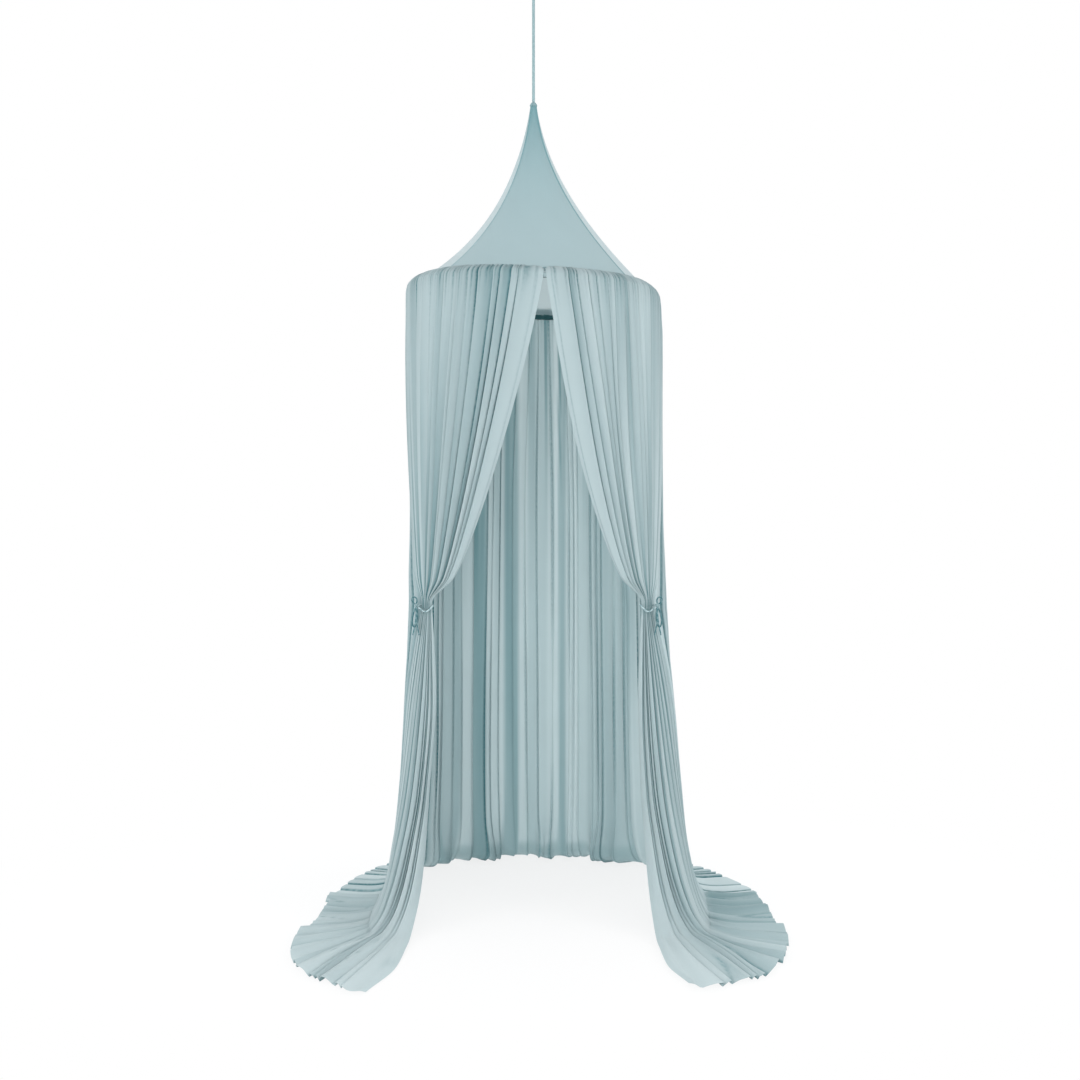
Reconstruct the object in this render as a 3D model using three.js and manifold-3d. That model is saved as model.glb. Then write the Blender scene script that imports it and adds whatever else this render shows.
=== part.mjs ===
// A hanging bed crown canopy, in millimetres with +Z up.
// The origin is the middle of the ceiling plate's top face.
// +X is to the right and -Y is towards the viewer, who looks into the opening between the tied curtains.
// Heights are written as they are measured, up from the floor, and placed with up().
import * as THREE from "three";
import { mergeVertices } from "three/addons/utils/BufferGeometryUtils.js";
import Module from "manifold-3d";

// Main heights above the floor: the peak hangs a set drop below the ceiling, and the hoop a set cone below it
const ceilingHeight = 2200;
const hangDrop = 331;
const coneHeight = 456;
const peakHeight = ceilingHeight - hangDrop;
const hoopHeight = peakHeight - coneHeight;
const tieHeight = 680;

// Hoop, its sleeve and the lean of the crown, whose left side hangs a little higher
const hoopRadius = 285;
const hoopRodRadius = 3;
const hoopRods = 4;
const ferruleFit = 0.8;
const ferruleWall = 0.5;
const ferruleLength = 34;
const channelFit = 1.3;
const channelWall = 1;
const channelSlitAngle = THREE.MathUtils.degToRad(60);
const crownLean = THREE.MathUtils.degToRad(2.6);

// Cone of jersey
const coneWall = 2;
const coneTipRadius = 8;
const coneBowRadius = 40;
const coneGores = 3;

// Curtain cloth and its folds
const clothThickness = 3;
const gapAzimuth = THREE.MathUtils.degToRad(5);
const hoopToCurtain = 11;
const curtainRadius = hoopRadius + hoopToCurtain;
const headerThickness = 2.5;
const foldDepthTop = 4;
const foldDepth = 9;
const floorFoldDepth = 6;
const skirtBack = 9;
const skirtFocus = 4;
const hemSpillBack = 147;
const backHalfAngle = THREE.MathUtils.degToRad(50);
const backFolds = 9;
const sideFolds = 4;
const frontFolds = 8;
const trainFolds = 5;

// Ties: a band round the gathered neck of each front curtain, with a knot, a bow and hanging ends
const neckWidth = 40;
const neckDepth = 12;
const neckLength = 14;
const neckTurn = THREE.MathUtils.degToRad(24);
const bandFit = 0.8;
const tieCordRadius = 2.5;
const tieKnotRadius = 6;
const bowLength = 26;
const bowWidth = 13;
const tieEndLength = 68;
const tieEndWidth = 6;
const tieEndThickness = 2.5;
const tieEndSpread = THREE.MathUtils.degToRad(9);
const tieEndTilt = THREE.MathUtils.degToRad(68);
const tieEndLean = THREE.MathUtils.degToRad(3);
const bowCordRadius = 1.6;
const bowDroop = THREE.MathUtils.degToRad(50);

// Strap and ceiling fitting
const strapDiameter = 7;
const cuffRadius = 9;
const cuffSkirt = 1;
const ringRadius = 11;
const ringWireRadius = 2;
const hookBendRadius = 9;
const hookWireRadius = 2.5;
const hookShank = 12;
const loopWireRadius = 1.8;
const loopNeckRadius = 3.6;
const loopNeckLength = 11;
const plateRadius = 24;
const plateThickness = 4;
const screwOffset = 15;
const screwRadius = 2;
const screwHeadRadius = 4;
const screwHeadHeight = 2.2;
const slotWidth = 1;
const slotDepth = 0.9;

// Clearances
const sewnGap = 0.5;
const touchGap = 0.3;
const cutOverrun = 1;

// The strap's route, from the sewn loop on the ring down to the cuff on the peak
const strapRoute = [
  [0, 0, -67.8], [0, 0, -84], [0, 0, -102], [0, 0, -120], [0, 0, -138],
  [0, 0, -156], [0, 0, -174], [0, 0, -192], [0, 0, -210], [0, 0, -228],
  [0, 0, -246], [0, 0, -264], [0, 0, -282], [0, 0, -301], [0, 0, -320.2],
];

// What differs between the two sides, hand -1 being the left. Insets and spreads are measured from the round
// that the curtain hangs on
const leftSide = {
  name: "left",
  hand: -1,
  tieAzimuth: THREE.MathUtils.degToRad(64),
  tieInset: 23,
  gapAngle: -gapAzimuth,
  skirt: 45,
  skirtPower: 2,
  hemSpill: 134,
  trainInset: 46,
  trainSpread: 198,
  trainReach: 861,
};
const rightSide = {
  name: "right",
  hand: 1,
  tieAzimuth: THREE.MathUtils.degToRad(65.6),
  tieInset: 8,
  gapAngle: gapAzimuth,
  skirt: 85,
  skirtPower: 1,
  hemSpill: 129,
  trainInset: 43,
  trainSpread: 244,
  trainReach: 852,
};
const sides = [leftSide, rightSide];

const wasm = await Module();
wasm.setup();

const clothMaterial = (tint) =>
  new THREE.MeshStandardMaterial({ color: tint, roughness: 0.9, metalness: 0, side: THREE.DoubleSide });
const curtainTint = 0x9fbcc2;
const jerseyTint = 0x9dbabf;
const channelTint = 0x4f8084;
const cordTint = 0x8db0b5;
const metalMaterial = (tint) => new THREE.MeshStandardMaterial({ color: tint, roughness: 0.3, metalness: 1 });
const steelTint = 0xc4c6c8;
const rodTint = 0xe4e2da;
const rodMaterial = () => new THREE.MeshStandardMaterial({ color: rodTint, roughness: 0.45, metalness: 0 });

const canopy = new THREE.Group();

function addPiece(name, geometry, material, parent = canopy) {
  const piece = new THREE.Mesh(geometry, material);
  piece.name = name;
  parent.add(piece);
  return piece;
}

const up = (height) => height - ceilingHeight;
const mix = THREE.MathUtils.lerp;

// A point at an azimuth measured from the front, positive to the right
function around(azimuth, radius, height) {
  return new THREE.Vector3(radius * Math.sin(azimuth), -radius * Math.cos(azimuth), up(height));
}

// How far the leaning crown lowers a point, by its share of the way up to the hoop
function leanDrop(x, share) {
  return Math.tan(crownLean) * x * share;
}

// Triangles of a closed surface, turned so that they face outwards
function closedGeometry(points, triangles) {
  let volume = 0;
  for (const [a, b, c] of triangles) {
    volume += points[a].dot(new THREE.Vector3().crossVectors(points[b], points[c]));
  }
  const facing = volume < 0 ? triangles.map(([a, b, c]) => [a, c, b]) : triangles;
  const geometry = new THREE.BufferGeometry();
  geometry.setAttribute("position", new THREE.Float32BufferAttribute(points.flatMap((p) => p.toArray()), 3));
  geometry.setIndex(facing.flat());
  geometry.computeVertexNormals();
  return geometry;
}

// Two triangles between the corners of a quad
const quad = (a, b, c, d) => [[a, b, c], [a, c, d]];

// A sheet of cloth with a thickness: middle(u, v) is its middle surface, u across and v along its shares
function sheetGeometry(middle, columns, rowShares, thickness) {
  const rows = rowShares.length - 1;
  const grid = rowShares.map((v) =>
    Array.from({ length: columns + 1 }, (_, i) => middle(i / columns, v)));
  const points = [];
  for (const layer of [1, -1]) {
    for (let j = 0; j <= rows; j++) {
      for (let i = 0; i <= columns; i++) {
        const across = grid[j][Math.min(i + 1, columns)].clone().sub(grid[j][Math.max(i - 1, 0)]);
        const along = grid[Math.min(j + 1, rows)][i].clone().sub(grid[Math.max(j - 1, 0)][i]);
        const half = thickness(i / columns, rowShares[j]) / 2;
        const normal = across.cross(along).normalize();
        points.push(grid[j][i].clone().addScaledVector(normal, layer * half));
      }
    }
  }
  const at = (layer, j, i) => (layer * (rows + 1) + j) * (columns + 1) + i;
  const triangles = [];
  for (let j = 0; j < rows; j++) {
    for (let i = 0; i < columns; i++) {
      triangles.push(...quad(at(0, j, i), at(0, j + 1, i), at(0, j + 1, i + 1), at(0, j, i + 1)));
      triangles.push(...quad(at(1, j, i), at(1, j, i + 1), at(1, j + 1, i + 1), at(1, j + 1, i)));
    }
  }
  for (let i = 0; i < columns; i++) {
    triangles.push(...quad(at(0, 0, i), at(0, 0, i + 1), at(1, 0, i + 1), at(1, 0, i)));
    triangles.push(...quad(at(0, rows, i), at(1, rows, i), at(1, rows, i + 1), at(0, rows, i + 1)));
  }
  for (let j = 0; j < rows; j++) {
    triangles.push(...quad(at(0, j, 0), at(1, j, 0), at(1, j + 1, 0), at(0, j + 1, 0)));
    const end = [at(0, j, columns), at(0, j + 1, columns), at(1, j + 1, columns), at(1, j, columns)];
    triangles.push(...quad(...end));
  }
  return closedGeometry(points, triangles);
}

// A tube of round section on a closed path: path(turn) is its centre line
function closedTube(path, radius, steps, ringSides) {
  const points = [];
  const centre = new THREE.Vector3();
  const middles = Array.from({ length: steps }, (_, k) => path((k / steps) * 2 * Math.PI));
  middles.forEach((p) => centre.add(p));
  centre.divideScalar(steps);
  middles.forEach((p, k) => {
    const along = middles[(k + 1) % steps].clone().sub(middles[(k + steps - 1) % steps]).normalize();
    const out = p.clone().sub(centre);
    out.addScaledVector(along, -out.dot(along)).normalize();
    const beside = along.clone().cross(out);
    for (let s = 0; s < ringSides; s++) {
      const turn = (s / ringSides) * 2 * Math.PI;
      const onRing = p.clone().addScaledVector(out, radius * Math.cos(turn));
      points.push(onRing.addScaledVector(beside, radius * Math.sin(turn)));
    }
  });
  const triangles = [];
  for (let k = 0; k < steps; k++) {
    for (let s = 0; s < ringSides; s++) {
      const next = ((k + 1) % steps) * ringSides;
      const s2 = (s + 1) % ringSides;
      triangles.push(...quad(k * ringSides + s, next + s, next + s2, k * ringSides + s2));
    }
  }
  return closedGeometry(points, triangles);
}

function circleShape(radius, cornerCount) {
  const turns = Array.from({ length: cornerCount }, (_, k) => (k / cornerCount) * 2 * Math.PI);
  return new THREE.Shape(turns.map((t) => new THREE.Vector2(radius * Math.cos(t), radius * Math.sin(t))));
}

// A round bar along an open curve, closed at both ends
function barAlong(curve, radius, steps, cornerCount) {
  return new THREE.ExtrudeGeometry(circleShape(radius, cornerCount), {
    steps,
    extrudePath: curve,
    bevelEnabled: false,
  });
}

// Joining of closed meshes into one solid
function toSolid(geometry) {
  const bare = geometry.clone();
  bare.deleteAttribute("normal");
  bare.deleteAttribute("uv");
  const merged = mergeVertices(bare, 1e-3);
  return new wasm.Manifold(new wasm.Mesh({
    numProp: 3,
    vertProperties: merged.attributes.position.array,
    triVerts: new Uint32Array(merged.index.array),
  }));
}

function fromSolid(solid) {
  const mesh = solid.getMesh();
  const geometry = new THREE.BufferGeometry();
  geometry.setAttribute("position", new THREE.BufferAttribute(new Float32Array(mesh.vertProperties), 3));
  geometry.setIndex(Array.from(mesh.triVerts));
  geometry.computeVertexNormals();
  return geometry;
}

// Ceiling plate, screws and hook
const hookBottom = -plateThickness - touchGap - hookShank - 2 * hookBendRadius;
const ringTubeTop = hookBottom + hookWireRadius + touchGap + ringWireRadius;
const ringCentre = ringTubeTop - ringRadius;
const ringTubeBottom = ringCentre - ringRadius;

function ceilingPlate() {
  const outline = circleShape(plateRadius, 24);
  for (const hand of [-1, 1]) {
    const hole = new THREE.Path();
    hole.absarc(hand * screwOffset, 0, screwRadius + touchGap, 0, 2 * Math.PI);
    outline.holes.push(hole);
  }
  const plate = new THREE.ExtrudeGeometry(outline, {
    depth: plateThickness,
    bevelEnabled: false,
    curveSegments: 6,
  });
  plate.translate(0, 0, -plateThickness);
  addPiece("ceiling_plate", plate, metalMaterial(steelTint));
}

function plateScrew(name, hand) {
  const headTop = -plateThickness - touchGap;
  const profile = [
    [0, -touchGap],
    [screwRadius, -touchGap],
    [screwRadius, headTop],
    [screwHeadRadius, headTop],
    [screwHeadRadius, headTop - screwHeadHeight / 2],
    [screwHeadRadius / 2, headTop - screwHeadHeight],
    [0, headTop - screwHeadHeight],
  ].map(([r, z]) => new THREE.Vector2(r, z)).reverse();
  const body = new THREE.LatheGeometry(profile, 12);
  body.rotateX(Math.PI / 2);
  const slot = new THREE.BoxGeometry(2 * screwHeadRadius + cutOverrun, slotWidth, 2 * slotDepth);
  slot.translate(0, 0, headTop - screwHeadHeight);
  const screw = fromSolid(toSolid(body).subtract(toSolid(slot)));
  addPiece(name, screw, metalMaterial(steelTint)).position.x = hand * screwOffset;
}

const hookBendShares = [0.24, 0, -0.25, -0.5, -0.75, -1];

function ceilingHook() {
  const bendCentre = hookBottom + hookBendRadius;
  const onBend = (turn) =>
    new THREE.Vector3(0, hookBendRadius * Math.cos(turn), bendCentre + hookBendRadius * Math.sin(turn));
  const start = -plateThickness - touchGap;
  const tip = onBend(-Math.PI).add(new THREE.Vector3(0, 0, hookBendRadius / 2));
  const route = [
    new THREE.Vector3(0, 0, start),
    new THREE.Vector3(0, 0, start - hookShank / 3),
    ...hookBendShares.map((share) => onBend(share * Math.PI)),
    tip,
  ];
  const bar = barAlong(new THREE.CatmullRomCurve3(route, false, "centripetal"), hookWireRadius, 20, 8);
  addPiece("ceiling_hook", bar, metalMaterial(steelTint));
}

// Ring, the strap's sewn loop and the strap itself
function hangingRing() {
  const ring = new THREE.TorusGeometry(ringRadius, ringWireRadius, 6, 20);
  const piece = addPiece("hanging_ring", ring, metalMaterial(steelTint));
  piece.rotation.x = Math.PI / 2;
  piece.position.z = ringCentre;
}

function strapLoop() {
  const loopRadius = ringWireRadius + touchGap + loopWireRadius;
  const loop = new THREE.TorusGeometry(loopRadius, loopWireRadius, 6, 14);
  loop.rotateY(Math.PI / 2);
  const neck = new THREE.CylinderGeometry(loopNeckRadius, loopNeckRadius, loopNeckLength, 12);
  neck.rotateX(Math.PI / 2);
  neck.translate(0, 0, -loopRadius - loopWireRadius / 2 - loopNeckLength / 2);
  const joined = fromSolid(toSolid(loop).add(toSolid(neck)));
  addPiece("strap_loop", joined, clothMaterial(cordTint)).position.z = ringTubeBottom;
}

function hangingStrap() {
  const curve = new THREE.CatmullRomCurve3(strapRoute.map((p) => new THREE.Vector3(...p)));
  const cord = barAlong(curve, strapDiameter / 2, strapRoute.length, 8);
  addPiece("hanging_strap", cord, clothMaterial(cordTint));
}

function peakCuff() {
  const domeBase = up(peakHeight) + sewnGap + cuffSkirt;
  const profile = [
    new THREE.Vector2(0, domeBase - cuffSkirt),
    new THREE.Vector2(cuffRadius, domeBase - cuffSkirt),
  ];
  const domeSteps = 5;
  for (let k = 0; k < domeSteps; k++) {
    const turn = (k / domeSteps) * (Math.PI / 2);
    profile.push(new THREE.Vector2(cuffRadius * Math.cos(turn), domeBase + cuffRadius * Math.sin(turn)));
  }
  profile.push(new THREE.Vector2(0, domeBase + cuffRadius));
  const cuff = new THREE.LatheGeometry(profile, 16);
  cuff.rotateX(Math.PI / 2);
  addPiece("peak_cuff", cuff, clothMaterial(jerseyTint));
}

// Cone: a hollow bowed curve from the cuff to the hoop's sleeve, sewn from equal gores
const ferruleRadius = hoopRodRadius + ferruleFit + ferruleWall;
const channelRadius = ferruleRadius + channelFit + channelWall;
const coneFootRadius = hoopRadius + coneWall / 2;
const coneFootHeight = hoopHeight + channelRadius + touchGap + coneWall / 2;
const coneLine = new THREE.QuadraticBezierCurve(
  new THREE.Vector2(coneTipRadius, peakHeight),
  new THREE.Vector2(coneBowRadius, (peakHeight + coneFootHeight) / 2),
  new THREE.Vector2(coneFootRadius, coneFootHeight),
);
const coneRowShares = [0, 0.16, 0.36, 0.56, 0.76, 0.9, 1];
const goreColumns = 9;

function coneGore(name, seamAzimuth) {
  const goreAngle = (2 * Math.PI) / coneGores;
  const middle = (u, v) => {
    const on = coneLine.getPoint(v);
    const seam = sewnGap / 2 / on.x;
    const azimuth = mix(seamAzimuth + seam, seamAzimuth + goreAngle - seam, u);
    const p = around(azimuth, on.x, on.y);
    p.z -= leanDrop(p.x, v);
    p.x += Math.sin(crownLean) * (on.y - hoopHeight) * v ** 2;
    return p;
  };
  const gore = sheetGeometry(middle, goreColumns, coneRowShares, () => coneWall);
  addPiece(name, gore, clothMaterial(jerseyTint));
}

// Crown ring: hoop rods, ferrules, sleeve and gathered header, all in a group that leans
const crown = new THREE.Group();
crown.position.z = up(hoopHeight);
crown.rotation.y = crownLean;
canopy.add(crown);

class HoopArc extends THREE.Curve {
  constructor(from, to) {
    super();
    this.from = from;
    this.to = to;
  }
  getPoint(share, target = new THREE.Vector3()) {
    const turn = mix(this.from, this.to, share);
    return target.set(hoopRadius * Math.cos(turn), hoopRadius * Math.sin(turn), 0);
  }
}

function hoopRod(name, from, to) {
  const half = sewnGap / 2 / hoopRadius;
  addPiece(name, barAlong(new HoopArc(from + half, to - half), hoopRodRadius, 12, 6), rodMaterial(), crown);
}

// A ferrule is a short sleeve, open at both ends, over the joint of two rods
function hoopFerrule(name, turn) {
  const half = ferruleLength / 2 / hoopRadius;
  const arc = new HoopArc(turn - half, turn + half);
  const bore = new HoopArc(turn - half - cutOverrun / hoopRadius, turn + half + cutOverrun / hoopRadius);
  const outer = toSolid(barAlong(arc, ferruleRadius, 2, 6));
  const inner = toSolid(barAlong(bore, ferruleRadius - ferruleWall, 2, 6));
  addPiece(name, fromSolid(outer.subtract(inner)), metalMaterial(steelTint), crown);
}

// The sleeve wraps the hoop but for the slit below, where the rods go in
function hoopChannel() {
  const steps = 6;
  const start = -Math.PI / 2 + channelSlitAngle / 2;
  const sweep = 2 * Math.PI - channelSlitAngle;
  const onSection = (radius, k) => {
    const turn = start + (k / steps) * sweep;
    return new THREE.Vector2(hoopRadius + radius * Math.cos(turn), radius * Math.sin(turn));
  };
  const profile = [];
  for (let k = 0; k <= steps; k++) profile.push(onSection(channelRadius, k));
  for (let k = steps; k >= 0; k--) profile.push(onSection(channelRadius - channelWall, k));
  profile.push(profile[0].clone());
  const sleeve = new THREE.LatheGeometry(profile, 48);
  sleeve.rotateX(Math.PI / 2);
  addPiece("hoop_channel", sleeve, clothMaterial(channelTint), crown);
}

// The header is sewn to the cone above the hoop and rolls over it into the hanging cloth
const headerSeamShare = 0.95;
const headerShares = [[0, 1], [0.2, 0.97], [0.52, 0.82], [0.84, 0.5], [0.97, 0.15], [1, -0.29]];
const headerSeam = coneLine.getPoint(headerSeamShare);
const headerClear = coneWall / 2 + touchGap + headerThickness;
const coneSlope = coneLine.getTangent(headerSeamShare);
const headerInner = headerSeam.x - coneSlope.y * headerClear;
const headerRise = headerSeam.y + coneSlope.x * headerClear - hoopHeight;

function gatheredHeader() {
  const line = new THREE.SplineCurve(headerShares.map(([out, rise]) =>
    new THREE.Vector2(mix(headerInner, curtainRadius, out), rise * headerRise)));
  const steps = 5;
  const layer = (hand) => Array.from({ length: steps + 1 }, (_, k) => {
    const p = line.getPoint(k / steps);
    const along = line.getTangent(k / steps);
    const half = (hand * headerThickness) / 2;
    return new THREE.Vector2(p.x - along.y * half, p.y + along.x * half);
  });
  const profile = [...layer(-1), ...layer(1).reverse()];
  profile.push(profile[0].clone());
  const header = new THREE.LatheGeometry(profile, 40);
  header.rotateX(Math.PI / 2);
  addPiece("gathered_header", header, clothMaterial(curtainTint), crown);
}

// Hanging cloth. Folds are waves of uneven width that run down the cloth, and they fade out at a seam
const foldColumns = 5;
const seamFade = 6;
const fadeAtStart = (share) => Math.min(1, seamFade * share);
const fadeAtEnd = (share) => Math.min(1, seamFade * (1 - share));
const wideDriftShare = 0.035;
const fineDriftShare = 0.02;

function foldWave(share, folds, shift) {
  const wide = wideDriftShare * Math.sin(2 * Math.PI * (2 * share + shift));
  const fine = fineDriftShare * Math.sin(2 * Math.PI * (3 * share + 2 * shift));
  return Math.cos(2 * Math.PI * folds * (share + wide + fine));
}

const clothTopHeight = hoopHeight + headerShares.at(-1)[1] * headerRise - sewnGap;
// Shares of the fall, of the skirt's spread where it lands, and of the spill from there to the hem
const flareShares = [
  [1, 0, 0], [0.84, 0.05, 0], [0.68, 0.09, 0], [0.55, 0.15, 0], [0.485, 0.2, 0],
  [0.25, 0.47, 0], [0.09, 0.74, 0], [0.02, 0.94, 0.03], [0, 1, 0.4], [0, 1, 1],
];
const tieRow = 4;
const backRows = [0, 2, 4, 5, 6, 7, 8, 9];
const flareLine = new THREE.SplineCurve(flareShares.map(([rise, out]) => new THREE.Vector2(out, rise)));

// The line down the cloth at the back and sides: (radius, height), out along the floor to the hem
function fallLine(side, azimuth) {
  const aside = Math.sin(azimuth) ** skirtFocus;
  const skirt = mix(skirtBack, side.skirt, aside);
  const spill = mix(hemSpillBack, side.hemSpill, aside);
  return new THREE.SplineCurve(flareShares.map(([rise, spread, out]) => {
    const radius = curtainRadius + skirt * spread ** side.skirtPower + spill * out;
    return new THREE.Vector2(radius, rise * clothTopHeight);
  }));
}

// A point of the cloth that falls straight from the hoop, pushed out by its fold
function fallPoint(azimuth, line, v, wave) {
  const on = line.getPoint(v);
  const along = line.getTangent(v);
  const rise = Math.max(0, on.y / clothTopHeight);
  const depth = mix(mix(foldDepth, foldDepthTop, rise ** 3), floorFoldDepth, Math.max(0, along.x) ** 2);
  const lift = (clothThickness / 2) * (1 - rise) + (along.x * depth * (1 + wave)) / 2;
  const p = around(azimuth, on.x - along.y * depth * wave, Math.max(0, on.y) + lift);
  p.z -= leanDrop(p.x, rise);
  return p;
}

const fallRowShares = flareShares.map((_, k) => k / (flareShares.length - 1));

function backCurtain() {
  const trim = sewnGap / 2 / curtainRadius;
  const middle = (u, v) => {
    const azimuth = Math.PI + mix(-backHalfAngle + trim, backHalfAngle - trim, u);
    const side = azimuth < Math.PI ? rightSide : leftSide;
    const wave = foldWave(u, backFolds, 0.3) * fadeAtStart(u) * fadeAtEnd(u);
    return fallPoint(azimuth, fallLine(side, azimuth), v, wave);
  };
  const rowShares = backRows.map((row) => fallRowShares[row]);
  const cloth = sheetGeometry(middle, backFolds * foldColumns, rowShares, () => clothThickness);
  addPiece("back_curtain", cloth, clothMaterial(curtainTint));
}

// Plan places on one side, written as (out to the side, forward of the axis)
const placed = (side, out, forward, height) => new THREE.Vector3(side.hand * out, -forward, up(height));
const tieOut = (side) => (curtainRadius - side.tieInset) * Math.sin(side.tieAzimuth);
const tieForward = (side) => (curtainRadius - side.tieInset) * Math.cos(side.tieAzimuth);

// A place in the gathered neck at the tie, from its inner edge (0) to its outer edge (1)
function neckPlace(side, share, height) {
  const along = (share - 0.5) * neckWidth;
  const out = tieOut(side) + along * Math.cos(neckTurn);
  const forward = tieForward(side) - along * Math.sin(neckTurn);
  return placed(side, out, forward, height);
}

// The neck is a flat oval: full depth in its middle and thin at its edges
function neckThickness(share) {
  return Math.max(clothThickness / 2, neckDepth * Math.sqrt(Math.max(0, 1 - (2 * share - 1) ** 2)));
}

// The edge where the side cloth meets the front curtain above the tie and the train below it
const edgeAzimuth = THREE.MathUtils.degToRad(88);
// The share of the tie's height, then the plan places (out, forward) of the inner edge, middle and outer edge
const trainLineShares = [
  { rise: 0.7, places: [[-0.08, 0.165], [0.08, 0.155], [0.22, 0.112]] },
  { rise: 0.3, places: [[-0.05, 0.27], [0.18, 0.3], [0.31, 0.09]] },
  { rise: 0.07, places: [[-0.015, 0.46], [0.34, 0.51], [0.4, 0.077]] },
  { rise: 0.016, places: [[0.01, 0.55], [0.45, 0.57], [0.5, 0.067]] },
];
const trainHemShares = [
  [0.16, 0.96], [0.33, 1], [0.55, 0.92], [0.77, 0.83], [0.94, 0.67],
  [1, 0.5], [0.98, 0.36], [0.96, 0.23], [0.95, 0.09],
];
const planCurve = (places) => new THREE.SplineCurve(places.map((place) => new THREE.Vector2(...place)));
const hemCurve = planCurve(trainHemShares);

// One line down the train, from the tie to the hem: share 0 is the inner edge and 1 the outer edge
function trainLine(side, share) {
  const inner = curtainRadius - side.trainInset;
  const breadth = side.trainInset + side.trainSpread;
  const start = tieHeight - neckLength / 2 - sewnGap;
  const points = [neckPlace(side, share, start), neckPlace(side, share, start - neckLength / 2)];
  const pass = (plan, rise) =>
    points.push(placed(side, inner + breadth * plan.x, side.trainReach * plan.y, tieHeight * rise));
  for (const { rise, places } of trainLineShares) pass(planCurve(places).getPoint(share), rise);
  pass(hemCurve.getPoint(share), trainLineShares.at(-1).rise);
  return new THREE.CatmullRomCurve3(points, false, "centripetal");
}

// Pushes a point of a smooth cloth out along its normal by the fold's depth
const slopeShare = 0.01;

function folded(surface, u, v, depth) {
  const across = surface(Math.min(1, u + slopeShare), v).sub(surface(Math.max(0, u - slopeShare), v));
  const along = surface(u, Math.min(1, v + slopeShare)).sub(surface(u, Math.max(0, v - slopeShare)));
  return surface(u, v).addScaledVector(across.cross(along).normalize(), depth);
}

const trainRowShares = [0, 0.1, 0.2, 0.3, 0.4, 0.5, 0.6, 0.7, 0.8, 0.9, 1];
const openingShares = { start: 0.1, thin: 0.4, folded: 0.5 };

function train(side) {
  const lines = new Map();
  const surface = (u, v) => {
    if (!lines.has(u)) lines.set(u, trainLine(side, u));
    return lines.get(u).getPoint(v);
  };
  const lowest = up(clothThickness);
  const middle = (u, v) => {
    const rising = THREE.MathUtils.smoothstep(v, openingShares.start, openingShares.folded);
    const depth = floorFoldDepth * rising * fadeAtEnd(u) * foldWave(u, trainFolds, 0.1);
    const p = folded(surface, u, v, side.hand * depth);
    p.z = Math.max(p.z, lowest);
    return p;
  };
  const thickness = (u, v) => {
    const opened = THREE.MathUtils.smoothstep(v, openingShares.start, openingShares.thin);
    return mix(neckThickness(u), clothThickness, opened);
  };
  const cloth = sheetGeometry(middle, trainFolds * foldColumns, trainRowShares, thickness);
  addPiece(`${side.name}_train`, cloth, clothMaterial(curtainTint));
}

// The front curtain hangs from the hoop and is drawn together in the neck at the tie
const gatherPower = 0.571;
const neckShare = 0.97;
const neckTopHeight = tieHeight + neckLength / 2;
const neckRise = flareShares[tieRow][0];
const frontRises = flareShares.slice(0, tieRow + 1).map(([rise]) => rise);
const hangingRowShares = frontRises.map((rise) => (neckShare * (1 - rise)) / (1 - neckRise));
const frontRowShares = [...hangingRowShares, 1];
const gatherStartShare = 0.7;
const drawnIn = (fall) => 1 - (1 - fall) ** gatherPower;

// The top of the front curtain, from the middle gap (0) round to the side edge (1)
function frontTop(side, share) {
  const trim = sewnGap / 2 / curtainRadius;
  const azimuth = mix(side.gapAngle + trim, edgeAzimuth - trim, share);
  const out = curtainRadius * Math.sin(azimuth);
  const p = placed(side, out, curtainRadius * Math.cos(azimuth), clothTopHeight);
  p.z -= leanDrop(p.x, 1);
  return p;
}

function frontSurface(side, u, v) {
  const fall = Math.min(1, v / neckShare);
  const from = frontTop(side, u);
  const to = neckPlace(side, u, neckTopHeight);
  const p = from.clone().lerp(to, drawnIn(fall));
  const neckFall = Math.max(0, (v - neckShare) / (1 - neckShare));
  p.z = mix(from.z, to.z, fall) - neckFall * neckLength;
  return p;
}

function frontCurtain(side) {
  const surface = (u, v) => frontSurface(side, u, v);
  const middle = (u, v) => {
    const spread = 1 - drawnIn(Math.min(1, v / neckShare));
    const depth = mix(foldDepthTop, foldDepth, Math.min(1, v / hangingRowShares[1])) * spread;
    return folded(surface, u, v, -side.hand * depth * fadeAtEnd(u) * foldWave(u, frontFolds, 0.6));
  };
  const thickness = (u, v) =>
    mix(clothThickness, neckThickness(u), THREE.MathUtils.smoothstep(v, gatherStartShare, neckShare));
  const cloth = sheetGeometry(middle, frontFolds * foldColumns, frontRowShares, thickness);
  addPiece(`${side.name}_front_curtain`, cloth, clothMaterial(curtainTint));
}

// The side curtain runs from the front curtain's edge, down behind the tie's band, to the back curtain's edge
const sideEdgeGap = 2 * tieCordRadius + bandFit + touchGap + clothThickness;
const pullPower = 1.5;

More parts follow.
